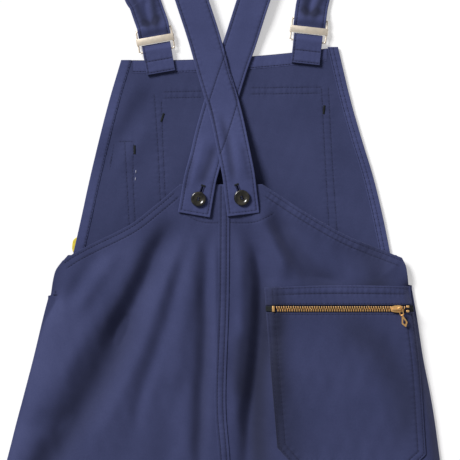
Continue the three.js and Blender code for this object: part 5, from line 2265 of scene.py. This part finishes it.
@dataclass
class Zip(Assembly):
    """The pocket's brass zip."""

    under: Cloth
    pitch: float = 2.7
    level: float = 16.5
    slider_x: float = 192.0

    def build(self) -> None:
        """Builds the tapes, the teeth, the stops, the slider and its pull."""
        for word, low, high in (("upper", 0.25, 10.5), ("lower", -10.5, -0.25)):
            node = f"zip_tape_{word}"
            cloth = Over(node + "_cloth", (node,), "tape", 0.55, under=self.under, rise=0.85)
            rows = np.linspace(ZIP_START - 5, ZIP_END + 5, 90)
            cloth.seams = [Seam(raised(rows, ZIP_Y + 0.3 * (low + high)), sink=0.1)]
            grid = ruled_grid(raised(rows, ZIP_Y + low), raised(rows, ZIP_Y + high), 14, 0.2)
            cloth.sheet(grid, self.palette.tape, 0.15)
        self.teeth()
        self.stops()
        self.slider()
        self.link()
        self.tab()

    def teeth(self) -> None:
        """Builds both rows of teeth on their cords."""
        for word, side, shift in (("upper", 1, 0.0), ("lower", -1, self.pitch / 2)):
            right = [(0.4, -0.35), (0.32, 0.5), (0.6, 1.2), (0.6, 3.05)]
            outline = np.array([*right, *((-x, y) for x, y in right[::-1])]) * [1, side]
            one = prism(outline[::side], 0, 1.7)
            solid = Solid()
            for x in np.arange(ZIP_START + 2 + shift, ZIP_END - 1.5, self.pitch):
                solid.merge(one.moved(0.0, (x + 0.5, ZIP_Y, self.level)))
            piece = rounded(solid.build(f"brass_teeth_{word}", self.palette.brass, False), 0.22, 2)
            piece.data.polygons.foreach_set("use_smooth", np.ones(len(piece.data.polygons), dtype=bool))
            own(piece, "brass", f"zip_teeth_{word}")
            ends = [(ZIP_START, ZIP_Y + 2.5 * side), (ZIP_END, ZIP_Y + 2.5 * side)]
            path = raised(curve(ends, 2.0), self.level + 0.4)
            own(tube(path, 0.5, 8).build(f"zip_cord_{word}", self.palette.tape), "tape")

    def stops(self) -> None:
        """Builds the stops at the ends of the teeth."""
        plans = (
            ("bottom_stop", (3.0, 6.6, 2.2), (ZIP_START - 1.5, ZIP_Y)),
            ("top_stop_upper", (3.2, 2.6, 2.2), (ZIP_END + 2.0, ZIP_Y + 2.6)),
            ("top_stop_lower", (3.2, 2.6, 2.2), (ZIP_END + 2.0, ZIP_Y - 2.6)),
        )
        for word, size, at in plans:
            solid = box(size, (*at, self.level + 1.1))
            own(rounded(solid.build(f"brass_{word}", self.palette.brass), 0.5, 3), "brass", f"zip_{word}")

    def slider(self) -> None:
        """Builds the slider: a shaped roof with flanges, and a bridge for the pull."""
        x, y, roof = self.slider_x, ZIP_Y, 18.7
        outline = [(-6.5, 2.0), (-5.0, 3.1), (-1.0, 3.7), (3.6, 4.1), (6.1, 3.0), (6.5, 1.6), (5.2, 0.0)]
        loop = np.array([*outline, *((u, -v) for u, v in outline[-2::-1])])[::-1]
        loop = curve(np.vstack([loop, loop[:1]]), 0.8)[:-1] + [x, y]
        piece = prism(loop, roof, roof + 1.2).build("brass_slider", self.palette.brass)
        parts = []
        for sign in (1, -1):
            parts.append(box((6.0, 0.6, 2.8), (x + 0.8, y + sign * 3.5, roof - 0.9)))
            parts.append(box((1.3, 1.8, 2.6), (x + sign * 4.1, y, roof + 2.2)))
        parts.append(box((9.5, 1.8, 0.95), (x, y, roof + 3.45)))
        carve(piece, [part.build("slider_part", self.palette.brass) for part in parts], "UNION")
        own(rounded(piece, 0.32, 3), "brass", "zip_slider", body=Body.SLIDER)

    def hang(self, points: Array) -> Array:
        """Carries points from the pull's own frame to where it hangs from the slider.

        Args:
            points: The points, one per row.

        Returns:
            The carried points.
        """
        lean, swing = math.radians(5.0), math.radians(18.0)
        x, y, z = np.asarray(points, dtype=float).T
        y, z = y * math.cos(lean) - z * math.sin(lean), y * math.sin(lean) + z * math.cos(lean)
        x, y = x * math.cos(swing) - y * math.sin(swing), x * math.sin(swing) + y * math.cos(swing)
        return np.column_stack([x + self.slider_x + 4.1, y + ZIP_Y, z + 20.8])

    def link(self) -> None:
        """Builds the wire ring between the slider and the pull."""
        w, top, foot = 1.95, 2.0, -7.6
        loop = [(-w, top - 0.8), (-w + 0.8, top), (w - 0.8, top), (w, top - 0.8)]
        loop += [(w, foot + 0.8), (w - 0.8, foot), (-w + 0.8, foot), (-w, foot + 0.8)]
        closed = corners(*loop, loop[0])[:-1]
        path = self.hang(raised(closed, 0.0))
        piece = tube(path, 0.48, 12, True).build("brass_link", self.palette.brass)
        own(piece, "brass", "pull_link", body=Body.LINK)

    def tab(self) -> None:
        """Builds the lozenge pull with its diamond window."""
        foot = -7.6
        top = foot - 0.8
        outline = [(-0.9, top), (-3.5, foot - 9.3), (0, foot - 14.4), (3.5, foot - 9.3), (0.9, top)]
        plate = prism(np.array(outline), -0.5, 0.5).build("brass_pull", self.palette.brass)
        hole = [(0, foot - 4.2), (-1.8, foot - 8.6), (0, foot - 11.6), (1.8, foot - 8.6)]
        window = prism(np.array(hole), -2, 2).build("pull_window", self.palette.brass)
        barrel = tube([(-1.2, foot, 0), (0, foot, 0), (1.2, foot, 0)], 1.25, 20)
        bore = tube([(-2, foot, 0), (0, foot, 0), (2, foot, 0)], 0.75, 16)
        carve(plate, [window])
        carve(plate, [barrel.build("pull_barrel", self.palette.brass)], "UNION")
        carve(plate, [bore.build("pull_bore", self.palette.brass)])
        rounded(plate, 0.22, 3)
        flat = np.empty(len(plate.data.vertices) * 3)
        plate.data.vertices.foreach_get("co", flat)
        moved = self.hang(flat.reshape(-1, 3) / MM) * MM
        plate.data.vertices.foreach_set("co", moved.ravel())
        plate.data.update()
        own(plate, "brass", "pull_tab", body=Body.PULL)


@dataclass
class Label(Assembly):
    """The plain yellow label sewn in the left side."""

    level: float = 1.35
    inner_x: float = -168.5

    def build(self) -> None:
        """Builds the label and its stitches."""
        label = Flat("label_ribbon", ("side_label",), "label", 0.5, level=self.level)
        label.ripple = Ripple(5, 0.05, 5, 16)
        row = curve([(-173.4, 15.6), (-174.6, 2.4)], 2.0)
        label.seams = [Seam(row, stitch=1.6, thick=0.16, sink=0.1, dark=0.2)]
        outer = curve([(-175.0, 18.0), (-178.2, 14.8), (-179.3, 9.8), (-179.5, 5.0), (-178.4, 1.2)], 1.0)
        inner = np.column_stack([np.full(len(outer), self.inner_x), outer[:, 1]])
        label.sheet(ruled_grid(outer, inner, 10, 0.3), self.palette.ribbon, 0.2)
        label.sew(self.palette.pale)


# ---- the studio


@dataclass
class Studio:
    """The floor, the lights and the camera above."""

    centre: Pair = (2.0, 26.7)  # what the camera looks at, in millimetres
    distance: float = 2.5  # the camera's height, in metres
    span: float = 0.529  # the width that it sees at the ground, in metres
    key: float = 4.0  # the strength of the large light
    fill: float = 0.27  # the strength of the light from all round

    def build(self) -> None:
        """Builds the studio."""
        self.floor()
        self.lights()
        self.camera()
        bpy.context.scene.view_settings.view_transform = "Standard"

    def floor(self) -> None:
        """Lays the pale sweep."""
        mesh = bpy.data.meshes.new("sweep")
        half = 9.0
        ring = [(-half, -half, 0), (half, -half, 0), (half, half, 0), (-half, half, 0)]
        mesh.from_pydata(ring, [], [(0, 1, 2, 3)])
        mesh.materials.append(FloorFinish("sweep").material())
        floor = bpy.data.objects.new("sweep", mesh)
        bpy.context.scene.collection.objects.link(floor)
        floor.location.z = -0.0006

    def lights(self) -> None:
        """Sets a large soft light at the upper left, and an even fill."""
        world = bpy.data.worlds.new("studio")
        world.use_nodes = True
        back = world.node_tree.nodes["Background"]
        back.inputs["Color"].default_value = (1.0, 1.0, 1.0, 1)
        back.inputs["Strength"].default_value = self.fill
        bpy.context.scene.world = world
        light = bpy.data.lights.new("key", "SUN")
        light.energy = self.key
        light.angle = math.radians(20)
        lamp = bpy.data.objects.new("key", light)
        lamp.rotation_euler = (math.radians(-33), math.radians(-44), 0)
        bpy.context.scene.collection.objects.link(lamp)

    def camera(self) -> None:
        """Sets the camera straight above the garment."""
        data = bpy.data.cameras.new("camera")
        data.sensor_width = 36.0
        data.lens = 36.0 * self.distance / self.span
        camera = bpy.data.objects.new("camera", data)
        camera.location = (self.centre[0] * MM, self.centre[1] * MM, self.distance)
        bpy.context.scene.collection.objects.link(camera)
        bpy.context.scene.camera = camera


def main() -> None:
    """Builds the overalls and the studio."""
    logging.basicConfig(level=logging.INFO, format="%(message)s")
    palette = Palette()
    back = Back(palette)
    parts = [Front(palette), Bib(palette), back, Pocket(palette, back.shared), Zip(palette, back.shared)]
    for plan in (RIGHT_STRAP, LEFT_STRAP):
        parts += [Strap(palette, plan), Buckle(palette, plan)]
    for part in (*parts, Buttons(palette), Label(palette), Studio()):
        part.build()
        LOG.info("%s built", type(part).__name__.lower())


if __name__ == "__main__":
    main()
